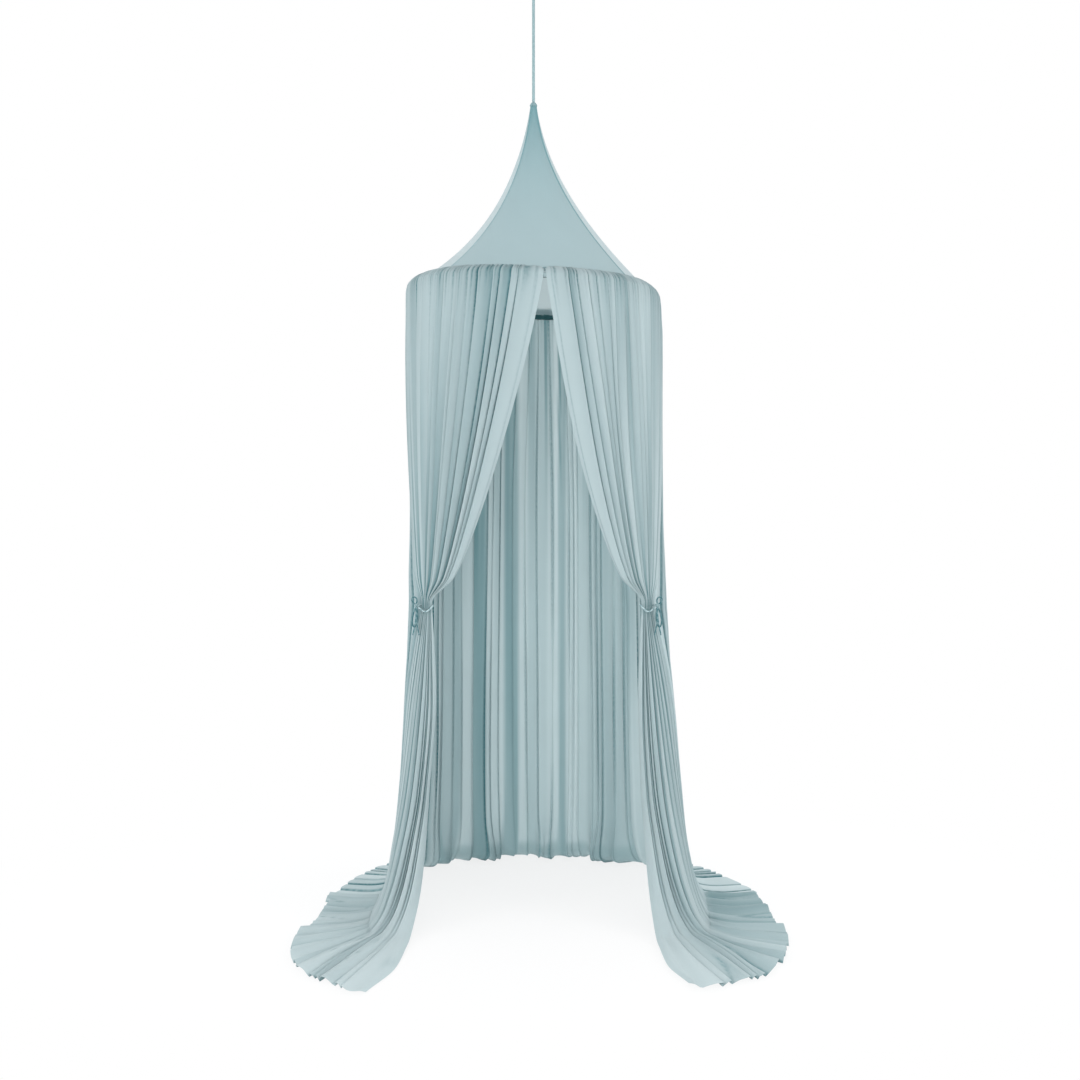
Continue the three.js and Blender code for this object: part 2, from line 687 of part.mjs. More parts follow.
function sideCurtain(side) {
  const trim = sewnGap / 2 / curtainRadius;
  const backEdge = Math.PI - backHalfAngle - trim;
  const frontEdge = edgeAzimuth + trim;
  const lower = trainLine(side, 1);
  const tieShare = fallRowShares[tieRow];
  const edge = (v) => {
    const fall = (1 - flareLine.getPoint(Math.min(v, tieShare)).y) / (1 - neckRise);
    const p = v <= tieShare
      ? frontSurface(side, 1, neckShare * fall)
      : lower.getPoint((v - tieShare) / (1 - tieShare));
    p.y += sideEdgeGap * Math.min(1, v / tieShare);
    return p;
  };
  const middle = (u, v) => {
    const azimuth = mix(frontEdge, backEdge, u);
    const wave = foldWave(u, sideFolds, 0.8) * fadeAtStart(u) * fadeAtEnd(u);
    const hanging = fallPoint(side.hand * azimuth, fallLine(side, azimuth), v, wave);
    const pull = (1 - u) ** pullPower * Math.min(1, v / fallRowShares[1]);
    return hanging.lerp(edge(v), pull);
  };
  const cloth = sheetGeometry(middle, sideFolds * foldColumns, fallRowShares, () => clothThickness);
  addPiece(`${side.name}_side_curtain`, cloth, clothMaterial(curtainTint));
}

// Tie: a cord band round the neck, and a knot with its bow and hanging ends on the band's outer front side
const bandWidthRadius = neckWidth / 2 + bandFit + tieCordRadius;
const bandDepthRadius = neckDepth / 2 + bandFit + tieCordRadius;
const knotTurn = Math.PI / 4;

// A place in the plane of the band, from the neck's middle: along the neck's width, and out from its front
function bandPlace(side, alongWidth, front, height) {
  const out = tieOut(side) + alongWidth * Math.cos(neckTurn) + front * Math.sin(neckTurn);
  const forward = tieForward(side) - alongWidth * Math.sin(neckTurn) + front * Math.cos(neckTurn);
  return placed(side, out, forward, height);
}

function tie(side) {
  const band = (turn) =>
    bandPlace(side, bandWidthRadius * Math.cos(turn), bandDepthRadius * Math.sin(turn), tieHeight);
  addPiece(`${side.name}_tie_band`, closedTube(band, tieCordRadius, 18, 6), clothMaterial(cordTint));

  const onBand = new THREE.Vector2(Math.cos(knotTurn), Math.sin(knotTurn));
  onBand.multiply(new THREE.Vector2(bandWidthRadius, bandDepthRadius));
  const away = new THREE.Vector2(onBand.x / bandWidthRadius ** 2, onBand.y / bandDepthRadius ** 2);
  away.normalize();
  const reach = tieCordRadius + touchGap + tieKnotRadius;
  const knotAlong = onBand.x + away.x * reach;
  const knotFront = onBand.y + away.y * reach;
  const knotMiddle = bandPlace(side, knotAlong, knotFront, tieHeight);
  const knot = new THREE.SphereGeometry(tieKnotRadius, 10, 6);
  addPiece(`${side.name}_tie_knot`, knot, clothMaterial(cordTint)).position.copy(knotMiddle);

  for (const [word, lift] of [["upper", 1], ["lower", -1]]) {
    const loop = (turn) => {
      const far = (bowLength / 2) * (1 - Math.cos(turn));
      const wide = (bowWidth / 2) * Math.sin(turn) * Math.sin(turn / 2);
      const droop = lift * bowDroop - bowDroop / 3;
      return new THREE.Vector3(
        side.hand * (far * Math.cos(droop) - wide * Math.sin(droop)),
        0,
        far * Math.sin(droop) + wide * Math.cos(droop),
      );
    };
    const bow = closedTube(loop, bowCordRadius, 12, 5);
    const start = tieKnotRadius + bowCordRadius + touchGap;
    const droop = lift * bowDroop - bowDroop / 3;
    const piece = addPiece(`${side.name}_bow_${word}`, bow, clothMaterial(cordTint));
    piece.position.set(side.hand * start * Math.cos(droop), 0, start * Math.sin(droop)).add(knotMiddle);
  }

  const beadRadius = tieEndWidth / 2;
  let ends = toSolid(new THREE.SphereGeometry(beadRadius, 8, 6));
  for (const hand of [-1, 1]) {
    const end = new THREE.BoxGeometry(tieEndWidth, tieEndThickness, tieEndLength);
    end.translate(0, 0, -tieEndLength / 2);
    end.rotateY(hand * tieEndSpread);
    end.rotateX(-tieEndLean);
    ends = ends.add(toSolid(end));
  }
  const hanging = addPiece(`${side.name}_tie_ends`, fromSolid(ends), clothMaterial(cordTint));
  const below = tieKnotRadius + touchGap + beadRadius;
  hanging.position.set(0, -below * Math.sin(tieEndTilt), -below * Math.cos(tieEndTilt)).add(knotMiddle);
}

backCurtain();
for (const side of sides) {
  sideCurtain(side);
  frontCurtain(side);
  train(side);
  tie(side);
}
ceilingPlate();
plateScrew("plate_screw_left", -1);
plateScrew("plate_screw_right", 1);
ceilingHook();
hangingRing();
strapLoop();
hangingStrap();
peakCuff();
const goreNames = ["cone_front", "cone_right_back", "cone_left_back"];
goreNames.forEach((name, k) => coneGore(name, (-Math.PI + k * 2 * Math.PI) / coneGores));
for (let k = 0; k < hoopRods; k++) {
  const from = (k * 2 * Math.PI) / hoopRods + Math.PI / hoopRods;
  hoopRod(`hoop_rod_${k + 1}`, from, from + (2 * Math.PI) / hoopRods);
  hoopFerrule(`hoop_ferrule_${k + 1}`, from);
}
hoopChannel();
gatheredHeader();

export default canopy;
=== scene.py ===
import math

import bpy
import numpy as np
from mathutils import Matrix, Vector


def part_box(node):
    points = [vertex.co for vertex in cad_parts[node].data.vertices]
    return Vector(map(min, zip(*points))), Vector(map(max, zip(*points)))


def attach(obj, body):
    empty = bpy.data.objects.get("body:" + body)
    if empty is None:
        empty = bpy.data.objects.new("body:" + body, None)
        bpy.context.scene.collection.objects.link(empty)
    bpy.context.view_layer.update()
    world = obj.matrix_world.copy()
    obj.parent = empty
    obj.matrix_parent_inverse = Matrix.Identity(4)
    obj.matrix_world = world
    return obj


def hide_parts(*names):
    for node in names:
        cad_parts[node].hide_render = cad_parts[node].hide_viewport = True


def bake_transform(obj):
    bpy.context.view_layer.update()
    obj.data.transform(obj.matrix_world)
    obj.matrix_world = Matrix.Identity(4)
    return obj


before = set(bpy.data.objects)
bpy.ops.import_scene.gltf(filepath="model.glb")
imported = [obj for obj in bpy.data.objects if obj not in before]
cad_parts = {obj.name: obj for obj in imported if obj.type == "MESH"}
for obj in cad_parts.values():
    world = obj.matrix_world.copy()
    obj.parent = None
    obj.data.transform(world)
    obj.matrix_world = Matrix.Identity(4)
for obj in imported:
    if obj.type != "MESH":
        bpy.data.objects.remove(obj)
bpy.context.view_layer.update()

# Viewpoint
# The canopy is looked at from the level of a seated child's eyes, 3.5 m in front of the opening, with the
# lens held level and the ceiling fitting just above the picture.
room = bpy.context.scene.collection
viewer = bpy.data.objects.new("viewer", bpy.data.cameras.new("viewer"))
room.objects.link(viewer)
viewer.location = (0.0155, -3.5, -1.415)
viewer.rotation_euler = (math.pi / 2, 0, 0)
viewer.data.sensor_width = 36
viewer.data.lens = 48.78
viewer.data.shift_y = 0.0185
viewer.data.clip_end = 60
bpy.context.scene.camera = viewer
bpy.context.scene.view_settings.view_transform = "Standard"

# Hanging strap
# A round knitted cord 7 mm thick, of the canopy's own colour. It is sewn into the cuff on the cone's peak,
# runs straight up and ends in a sewn loop on the steel ring.
strap_route = [(0, 0, z) for z in (
    -0.0678, -0.084, -0.102, -0.12, -0.138, -0.156, -0.174, -0.192, -0.21, -0.228, -0.246, -0.264, -0.282,
    -0.301, -0.3202)]
strap_thickness = 0.007
cord_dye = (0.40, 0.52, 0.54, 1)
# The deep cord colour is partly the cord's own deeper tone and partly painted shade in its grooves and bow
# loops.
cord_dye_deep_and_shade = (0.06, 0.16, 0.18, 1)


def feed(tree, step, fed):
    """Gives inputs of a step their plain values, or leads other steps' outputs to them."""
    for place, value in fed.items():
        if isinstance(value, bpy.types.NodeSocket):
            tree.links.new(value, step.inputs[place])
        else:
            step.inputs[place].default_value = value


def finish_step(tree, kind, fed=None, **settings):
    """One step of a finish: a node with its settings and what its inputs are fed."""
    step = tree.nodes.new(kind)
    for word, value in settings.items():
        setattr(step, word, value)
    feed(tree, step, fed or {})
    return step


def worked(tree, operation, first, second):
    """A sum on two values, each a number or another step's output."""
    return finish_step(tree, "ShaderNodeMath", {0: first, 1: second}, operation=operation).outputs[0]


def shaded(tree, colour, shade):
    """A colour made deeper or paler by a shade near 1."""
    mixed = finish_step(tree, "ShaderNodeMix", data_type="RGBA", blend_type="MULTIPLY")
    feed(tree, mixed, {"Factor": 1, "A": colour, "B": shade})
    return mixed.outputs["Result"]


def new_group(name, numbers, gives):
    """An empty shader node group that takes a place on the cloth and numbers, and gives one value."""
    group = bpy.data.node_groups.new(name, "ShaderNodeTree")
    group.interface.new_socket(name="Lay", in_out="INPUT", socket_type="NodeSocketVector")
    for word in numbers:
        group.interface.new_socket(name=word, in_out="INPUT", socket_type="NodeSocketFloat")
    group.interface.new_socket(name=gives, in_out="OUTPUT", socket_type="NodeSocketFloat")
    return group, group.nodes.new("NodeGroupInput").outputs, group.nodes.new("NodeGroupOutput")


def knit_group():
    """Stitches of a jersey knit: wales run down the cloth and courses across it, each stitch a small V."""
    group, takes, gives = new_group("jersey_stitches", ["Wale", "Course"], "Height")
    apart = finish_step(group, "ShaderNodeSeparateXYZ", {0: takes["Lay"]})
    wales = worked(group, "PINGPONG", worked(group, "DIVIDE", apart.outputs[0], takes["Wale"]), 0.5)
    rows = worked(group, "DIVIDE", apart.outputs[1], takes["Course"])
    courses = worked(group, "PINGPONG", worked(group, "ADD", rows, wales), 0.5)
    rounded = worked(group, "MULTIPLY", worked(group, "POWER", wales, 0.5), 0.9)
    feed(group, gives, {"Height": worked(group, "ADD", rounded, courses)})
    return group


def dye_group():
    """Uneven dye: slow changes of shade over the cloth, as a factor near 1."""
    group, takes, gives = new_group("uneven_dye", ["Scale", "Amount"], "Shade")
    noise = finish_step(group, "ShaderNodeTexNoise", {
        "Vector": takes["Lay"], "Scale": takes["Scale"], "Detail": 3})
    swing = worked(group, "MULTIPLY", worked(group, "SUBTRACT", noise.outputs["Fac"], 0.5), takes["Amount"])
    feed(group, gives, {"Shade": worked(group, "ADD", swing, 1.0)})
    return group


jersey_stitches = knit_group()
uneven_dye = dye_group()


def placed_group(tree, group, lay, **numbers):
    """A group set into a finish with its own numbers. Gives the group's one output."""
    return finish_step(tree, "ShaderNodeGroup", {"Lay": lay, **numbers}, node_tree=group).outputs[0]


def new_finish(name, plain):
    """A material, its tree of steps, and its shader with the values that are the same all over."""
    finish = bpy.data.materials.new(name)
    finish.use_nodes = True
    surface = finish.node_tree.nodes["Principled BSDF"]
    feed(finish.node_tree, surface, plain)
    return finish, finish.node_tree, surface


def knitted_finish(name, dye, deep_dye_and_shade, wale, course, bump, mottle=0.10, sheen=0.25, creasing=0.0,
                   through=0.0):
    """A dyed knit with painted shade: its colour deepens where shade is painted into creases, where the cloth
    lies over itself and on folds turned from the light, and its stitches stand up. The share of light named
    by through passes to the cloth's other face."""
    finish, tree, surface = new_finish(name, {
        "Roughness": 0.9, "Specular IOR Level": 0.2, "Sheen Weight": sheen, "Sheen Roughness": 0.5})
    lay = finish_step(tree, "ShaderNodeAttribute", attribute_name="lay").outputs["Vector"]
    over, down, creases = finish_step(tree, "ShaderNodeSeparateXYZ", {0: lay}).outputs
    flat = finish_step(tree, "ShaderNodeCombineXYZ", {0: over, 1: down}).outputs[0]
    puckers = finish_step(tree, "ShaderNodeTexNoise", {"Vector": flat, "Scale": 130, "Detail": 1})
    unevenness = worked(tree, "ADD", worked(tree, "MULTIPLY", puckers.outputs["Fac"], 1.4), 0.3)
    # The attribute read here is painted shade where the cloth lies over itself and on folds turned from the
    # light.
    layer_shade = finish_step(tree, "ShaderNodeAttribute", attribute_name="layers_and_shade").outputs["Fac"]
    deepened = worked(tree, "ADD", worked(tree, "MULTIPLY", creases, unevenness), layer_shade)
    dye_with_shade = finish_step(tree, "ShaderNodeMix", data_type="RGBA")
    feed(tree, dye_with_shade, {"Factor": worked(tree, "MINIMUM", deepened, 1.0), "A": dye, "B": deep_dye_and_shade})
    shade = placed_group(tree, uneven_dye, flat, Scale=9.0, Amount=mottle)
    stitches = placed_group(tree, jersey_stitches, flat, Wale=wale, Course=course)
    # The stitches are painted paler where they stand up and darker between them, as painted shade of the
    # knit.
    stitch_shade = worked(tree, "ADD", worked(tree, "MULTIPLY", stitches, 0.09), 0.95)
    dyed = shaded(tree, dye_with_shade.outputs["Result"], worked(tree, "MULTIPLY", shade, stitch_shade))
    raised = stitches
    if creasing:
        stretched = finish_step(tree, "ShaderNodeMapping", {"Vector": flat, "Scale": (90, 7, 1)}).outputs[0]
        fine = finish_step(tree, "ShaderNodeTexNoise", {"Vector": stretched, "Scale": 1.0, "Detail": 2})
        raised = worked(tree, "ADD", raised, worked(tree, "MULTIPLY", fine.outputs["Fac"], creasing))
    relief = finish_step(tree, "ShaderNodeBump", {"Height": raised, "Distance": bump, "Strength": 0.6})
    feed(tree, surface, {"Base Color": dyed, "Normal": relief.outputs["Normal"]})
    if through:
        passed = finish_step(tree, "ShaderNodeBsdfTranslucent", {"Color": dyed}).outputs[0]
        both = finish_step(tree, "ShaderNodeMixShader", {0: through, 1: surface.outputs[0], 2: passed})
        feed(tree, tree.nodes["Material Output"], {"Surface": both.outputs[0]})
    return finish


def sewn_mesh(name, points, lay, finish, layers_and_shade=None, round_across=False, round_along=False):
    """A piece from rows of points, joined by four-cornered faces, and from where each point lies on the flat
    cloth. A third value of lay deepens the colour: painted shade in creases and grooves, and the deeper tone
    of stitching and of some cords. The values for layers and shade give painted shade, and a little painted
    highlight, where the cloth lies over itself and as its folds turn from or to the light."""
    rows, columns = np.shape(points)[:2]
    down, over = np.mgrid[0:rows if round_along else rows - 1, 0:columns if round_across else columns - 1]
    below, beside = (down + 1) % rows, (over + 1) % columns
    corners = np.stack([down * columns + over, down * columns + beside, below * columns + beside,
                        below * columns + over], -1).astype(np.int32).ravel()
    count = len(corners) // 4
    mesh = bpy.data.meshes.new(name)
    mesh.vertices.add(rows * columns)
    mesh.vertices.foreach_set("co", np.ravel(points).astype(np.float32))
    mesh.loops.add(len(corners))
    mesh.loops.foreach_set("vertex_index", corners)
    mesh.polygons.add(count)
    mesh.polygons.foreach_set("loop_start", np.arange(count, dtype=np.int32) * 4)
    mesh.update(calc_edges=True)
    mesh.polygons.foreach_set("use_smooth", np.ones(count, dtype=bool))
    place = mesh.attributes.new("lay", "FLOAT_VECTOR", "POINT")
    place.data.foreach_set("vector", np.ravel(lay).astype(np.float32))
    if layers_and_shade is not None:
        over_itself = mesh.attributes.new("layers_and_shade", "FLOAT", "POINT")
        over_itself.data.foreach_set("value", np.ravel(layers_and_shade).astype(np.float32))
    mesh.materials.append(finish)
    piece = bpy.data.objects.new(name, mesh)
    room.objects.link(piece)
    return piece


def fitted(piece, body, slot, *nodes):
    """Names the body that a piece moves with and hides the nodes that it stands for. The slot is not used."""
    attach(piece, body)
    if nodes:
        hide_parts(*nodes)


def unit(vectors):
    return vectors / np.maximum(np.linalg.norm(vectors, axis=-1, keepdims=True), 1e-9)


def full_turn(steps):
    """Angles at even steps once round."""
    return np.linspace(0, 2 * math.pi, steps, endpoint=False)


def run_along(route):
    """How far each point of a route lies along it."""
    return np.concatenate([[0], np.cumsum(np.linalg.norm(np.diff(route, axis=0), axis=1))])


def round_cord(name, route, radius, finish, sides=14, closed=False, tone=0.0, twist=0.0):
    """A cord of round section along its route. Its ends are turned in unless it is closed on itself. With a
    twist, painted shade deepens its colour in the groove that winds round it once in that length."""
    route = np.array(route, dtype=float)
    radii = np.full(len(route), radius, dtype=float)
    if closed:
        ahead = unit(np.roll(route, -1, 0) - np.roll(route, 1, 0))
    else:
        first, last = unit(route[1] - route[0]), unit(route[-1] - route[-2])
        route = np.vstack([route[0], route[0], route, route[-1], route[-1]])
        radii = np.concatenate([[0.00001, radius * 0.7], radii, [radius * 0.7, 0.00001]])
        route[2] += first * radius * 0.4
        route[-3] -= last * radius * 0.4
        route[1] += first * radius * 0.1
        route[-2] -= last * radius * 0.1
        ahead = np.gradient(route, axis=0)
        ahead[:3] = first
        ahead[-3:] = last
        ahead = unit(ahead)
    beside = np.cross(ahead[0], (0.36, 0.93, 0.05))
    turns = full_turn(sides)[:, None]
    rings = []
    for middle, way, thick in zip(route, ahead, radii):
        beside = unit(beside - way * np.dot(beside, way))
        rings.append(middle + thick * (np.cos(turns) * beside + np.sin(turns) * np.cross(way, beside)))
    along = run_along(route)[:, None]
    share_round = np.arange(sides) / sides
    lay = np.zeros((len(route), sides, 3))
    lay[..., 0] = share_round * 2 * math.pi * radius
    lay[..., 1] = along
    lay[..., 2] = tone
    if twist:
        lay[..., 2] += 0.9 * np.clip(np.cos(2 * math.pi * (share_round + along / twist)), 0, 1) ** 2
    return sewn_mesh(name, rings, lay, finish, round_across=True, round_along=closed)


knitted_cord = knitted_finish("knitted_cord", cord_dye, cord_dye_deep_and_shade, 0.0016, 0.0014, 0.0005)
strap = round_cord("strap", strap_route, strap_thickness / 2, knitted_cord, sides=18, tone=0.38)
fitted(strap, "strap", "cord", "hanging_strap")

# Sewn loop
# The top end of the strap is turned back round the steel ring and stitched down on itself, which makes a
# thick neck 11 mm long below the loop.


def corners_of(node):
    """The low and the high corner of a node's box."""
    low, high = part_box(node)
    return np.array(low), np.array(high)


loop_low, loop_high = corners_of("strap_loop")
loop_thread = 0.0018
loop_radius = (loop_high[1] - loop_low[1]) / 2 - loop_thread
loop_middle = np.array([0, 0, loop_high[2] - loop_thread - loop_radius])
loop_open = 0.35
foot_apart = 0.0016
neck_bottom = loop_low[2]
turn = np.linspace(-0.5 * math.pi + loop_open, 1.5 * math.pi - loop_open, 26)
arc = [loop_middle + loop_radius * np.array([0, math.cos(t), math.sin(t)]) for t in turn]
foot_heights = np.linspace(neck_bottom + 0.001, loop_middle[2] - loop_radius - 0.0012, 6)
foot = [[0, foot_apart, z] for z in foot_heights]
other_foot = [[0, -foot_apart, z] for z in reversed(foot_heights)]
sewn_loop = round_cord("sewn_loop", foot + arc + other_foot, loop_thread, knitted_cord)
whipping_thread = 0.00045
whipping_turns = 7
whipping_height = 0.0075
share = np.linspace(0, 1, 90)
bend = share * whipping_turns * 2 * math.pi
whipping_route = np.stack([0.0021 * np.cos(bend), 0.0034 * np.sin(bend),
                           neck_bottom + 0.002 + share * whipping_height], -1)
whipping = round_cord("loop_stitching", whipping_route, whipping_thread, knitted_cord, sides=6, tone=0.5)
for piece in (sewn_loop, whipping):
    fitted(piece, "strap", "cord", "strap_loop")

# Ceiling fitting
# A small round plate of satin steel, held to the ceiling by two slotted screws, carries an open wire hook. A
# welded steel ring hangs in it.
steel_tint = (0.34, 0.35, 0.36, 1)
plate_low, plate_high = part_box("ceiling_plate")
plate_radius, plate_bottom = plate_high[0], plate_low[2]
hook_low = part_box("ceiling_hook")[0]
hook_wire = 0.0025
hook_bend = 0.009
ring_low, ring_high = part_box("hanging_ring")
ring_wire = 0.002


def hard_finish(name, tint, scale, amount, dullness, plain):
    """A hard smooth finish whose colour and dullness change slowly over it."""
    finish, tree, surface = new_finish(name, plain)
    place = finish_step(tree, "ShaderNodeTexCoord").outputs["Object"]
    shade = placed_group(tree, uneven_dye, place, Scale=scale, Amount=amount)
    feed(tree, surface, {"Base Color": shaded(tree, tint, shade),
                         "Roughness": worked(tree, "MULTIPLY", shade, dullness)})
    return finish


def turned(name, profile, finish, sides=48, layers_and_shade=0.0):
    """A piece turned round the upright axis from its profile of (radius, height)."""
    profile = np.array(profile, dtype=float)
    turns = full_turn(sides)
    points = np.zeros((len(profile), sides, 3))
    points[..., 0] = profile[:, :1] * np.cos(turns)
    points[..., 1] = profile[:, :1] * np.sin(turns)
    points[..., 2] = profile[:, 1:]
    lay = np.zeros_like(points)
    lay[..., 0] = turns * max(profile[:, 0])
    lay[..., 1] = run_along(profile)[:, None]
    return sewn_mesh(name, points, lay, finish, layers_and_shade=np.full(points.shape[:2], layers_and_shade), round_across=True)


def refinished(node, finish):
    """Gives a solid that is shown as it is its real finish."""
    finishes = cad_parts[node].data.materials
    finishes.clear()
    finishes.append(finish)


steel = hard_finish("satin_steel", steel_tint, 260.0, 0.3, 0.3, {"Metallic": 1})
plate = turned("fitting_plate", [
    (0.0001, 0), (plate_radius, 0), (plate_radius, -0.0015), (plate_radius - 0.0006, -0.0024),
    (plate_radius - 0.0045, plate_bottom + 0.0002), (plate_radius - 0.006, plate_bottom),
    (0.0001, plate_bottom)], steel, sides=72)
bend_middle = hook_low[2] + hook_wire + hook_bend
hook_route = [(0, 0, z) for z in np.linspace(plate_bottom - 0.0003, bend_middle + hook_bend + 0.0035, 5)]
for t in np.linspace(0.36, -1.0, 30) * math.pi:
    hook_route.append((0, hook_bend * math.cos(t), bend_middle + hook_bend * math.sin(t)))
hook_route.append((0, -hook_bend, bend_middle + hook_bend * 0.3))
hook = round_cord("fitting_hook", hook_route, hook_wire, steel, sides=20)
ring_reach = ring_high[0] - ring_wire
ring_middle = (ring_low[2] + ring_high[2]) / 2
ring = round_cord("strap_ring", [(ring_reach * math.cos(t), 0, ring_middle + ring_reach * math.sin(t))
                                 for t in full_turn(64)], ring_wire, steel, sides=18, closed=True)
fitted(plate, "ceiling_fitting", "steel", "ceiling_plate")
fitted(hook, "ceiling_fitting", "steel", "ceiling_hook")
fitted(ring, "strap", "steel", "hanging_ring")
for screw in ("plate_screw_left", "plate_screw_right"):
    refinished(screw, steel)

# Hoop and its sleeve
# Four bent glass-fibre rods, joined by steel ferrules, make a hoop 0.57 m across. It lies in a sleeve of pale
# tape sewn into the cone's hem, with painted shade on its inner side, and leans a little to the right.
hoop_radius = 0.285
hoop_height = 1.413
ceiling_height = 2.2
lean = math.radians(2.6)
sleeve_radius = 0.0066
sleeve_slit = math.radians(60)
fibre_tint = (0.72, 0.70, 0.62, 1)
tape_dye = (0.48, 0.585, 0.605, 1)
tape_shade_colour = (0.045, 0.135, 0.145, 1)


def leaned(points):
    """Tips points of the level crown about the front to back axis through the hoop's middle."""
    out, rise = points[..., 0].copy(), points[..., 2] - (hoop_height - ceiling_height)
    tipped = points.copy()
    tipped[..., 0] = out * math.cos(lean) + rise * math.sin(lean)
    tipped[..., 2] = hoop_height - ceiling_height + rise * math.cos(lean) - out * math.sin(lean)
    return tipped


glass_fibre = hard_finish("glass_fibre", fibre_tint, 180.0, 0.25, 0.4, {"Coat Weight": 0.3})
for number in (1, 2, 3, 4):
    refinished(f"hoop_rod_{number}", glass_fibre)
    refinished(f"hoop_ferrule_{number}", steel)
around = full_turn(240)
section = np.linspace(-math.pi / 2 + sleeve_slit / 2, 1.5 * math.pi - sleeve_slit / 2, 15)[:, None]
puckers = 0.0004 * np.sin(around * 96) + 0.0003 * np.sin(around * 57 + 1)
reach = hoop_radius + (sleeve_radius + puckers) * np.cos(section)
sleeve_points = np.zeros((*reach.shape, 3))
sleeve_points[..., 0] = reach * np.cos(around)
sleeve_points[..., 1] = reach * np.sin(around)
sleeve_points[..., 2] = (sleeve_radius + puckers) * np.sin(section) + hoop_height - ceiling_height
sleeve_lay = np.zeros_like(sleeve_points)
sleeve_lay[..., 0] = section * sleeve_radius
sleeve_lay[..., 1] = around * hoop_radius
# Painted shade: the sleeve's inner side, facing the hoop's middle, is darkened, and the shade changes with
# the puckers.
inner_side_shade = np.clip(0.55 - 2.2 * np.cos(section), 0.12, 1) + 60 * puckers
tape_shaded_inside = knitted_finish("tape_shaded_inside", tape_dye, tape_shade_colour, 0.0012, 0.0012, 0.0003, sheen=0.1)
sleeve = sewn_mesh("hoop_sleeve", leaned(sleeve_points), sleeve_lay, tape_shaded_inside,
                   layers_and_shade=np.clip(inner_side_shade, 0, 1), round_across=True)
fitted(sleeve, "canopy", "channel", "hoop_channel")

# Cone and cuff
# Three gores of plain jersey, sewn edge to edge, are stretched from the small domed cuff down to the hoop.
# The cloth bows inward between them, and the seams stand up as fine ridges with their allowance showing.
peak_height = 1.869
cone_foot = (0.286, hoop_height + sleeve_radius + 0.0013)
cone_tip = (0.008, peak_height)
cone_bow = (0.040, (peak_height + cone_foot[1]) / 2)
seam_azimuths = [math.radians(degrees) for degrees in (-47, 54, 179.99)]
beside_seam = np.array([0.004, 0.008, 0.013, 0.02, 0.03])
cuff_profile = [(0.0001, 0), (0.0072, 0), (0.0086, 0.0003), (0.009, 0.0012), (0.0088, 0.0026),
                (0.0080, 0.0045), (0.0068, 0.0064), (0.0055, 0.0079), (0.0044, 0.0091), (0.0037, 0.0099),
                (0.0001, 0.0100)]
jersey_dye = (0.63, 0.715, 0.73, 1)
jersey_dye_deep_and_shade = (0.20, 0.37, 0.40, 1)


def cone_line(share):
    """The cone's bowed line, as (radius, height), at shares of the way from the cuff down to the hoop."""
    tip, bow, base = np.array(cone_tip), np.array(cone_bow), np.array(cone_foot)
    return tip * (1 - share) ** 2 + 2 * bow * share * (1 - share) + base * share ** 2


def hung_round(azimuth, radius, height):
    """Points round the axis: azimuth is from the front and positive to the right, height above the floor."""
    azimuth, radius, height = np.broadcast_arrays(azimuth, radius, height)
    return np.stack([radius * np.sin(azimuth), -radius * np.cos(azimuth), height - ceiling_height], -1)


shares = np.linspace(0, 1, 96)[:, None] ** 1.15
cone_turns = np.sort(np.concatenate([np.linspace(-math.pi, math.pi, 180, endpoint=False)] + [
    seam + side * beside_seam for seam in seam_azimuths for side in (-1, 1)]))
line = cone_line(shares)
radii, heights = line[:, :1], line[:, 1:]
near = radii * np.min([np.abs((cone_turns - seam + math.pi) % (2 * math.pi) - math.pi)
                       for seam in seam_azimuths], axis=0)
ridge = 0.0011 * np.exp(-(near / 0.0016) ** 2) - 0.0004 * np.exp(-((near - 0.006) / 0.003) ** 2)
sag = -0.0025 * np.sin(math.pi * shares) * (1 - np.cos(cone_turns * 3)) / 2
left_sag = 0.036 * (4 * shares ** 3 * (1 - shares)) * np.maximum(0, -np.sin(cone_turns)) ** 2
cone_points = hung_round(cone_turns, radii + ridge + (sag - left_sag), heights)
cone_points[..., 2] -= math.tan(lean) * cone_points[..., 0] * shares
cone_points[..., 0] += math.sin(lean) * (heights - hoop_height) * shares ** 2
stitch_line = np.exp(-(near / 0.0024) ** 2)
allowance = np.exp(-(near / 0.009) ** 4)
cone_lay = np.zeros_like(cone_points)
cone_lay[..., 0] = cone_turns * 0.2 + heights * 0.6
cone_lay[..., 1] = heights
cone_lay[..., 2] = np.clip(0.85 * stitch_line * np.where(cone_turns > 0, 1, 0.35), 0, 1)
# The front gore is painted darker than the strips past its seams, as painted shade where the side light falls
# less; the seam allowance shows through a little, and the colour deepens towards the peak.
past_seam = np.minimum(cone_turns - seam_azimuths[0], seam_azimuths[1] - cone_turns) * radii
in_front = np.clip(past_seam / 0.002 + 0.5, 0, 1)
cone_layers_and_shade = (0.44 + 0.10 * (1 - shares)) * in_front + 0.05 * allowance + 0.40 * (1 - shares) ** 3
plain_jersey = knitted_finish("plain_jersey", jersey_dye, jersey_dye_deep_and_shade, 0.0032, 0.0032, 0.0003,
                              mottle=0.06, through=0.35)
cone = sewn_mesh("jersey_cone", cone_points, cone_lay, plain_jersey, layers_and_shade=np.clip(cone_layers_and_shade, 0, 1),
                 round_across=True)
fitted(cone, "canopy", "jersey", "cone_front", "cone_right_back", "cone_left_back")
cuff_base = peak_height + 0.0005 - ceiling_height
cuff = turned("peak_cap", [(out, cuff_base + up) for out, up in cuff_profile], plain_jersey, layers_and_shade=0.75)
fitted(cuff, "cuff", "jersey", "peak_cuff")

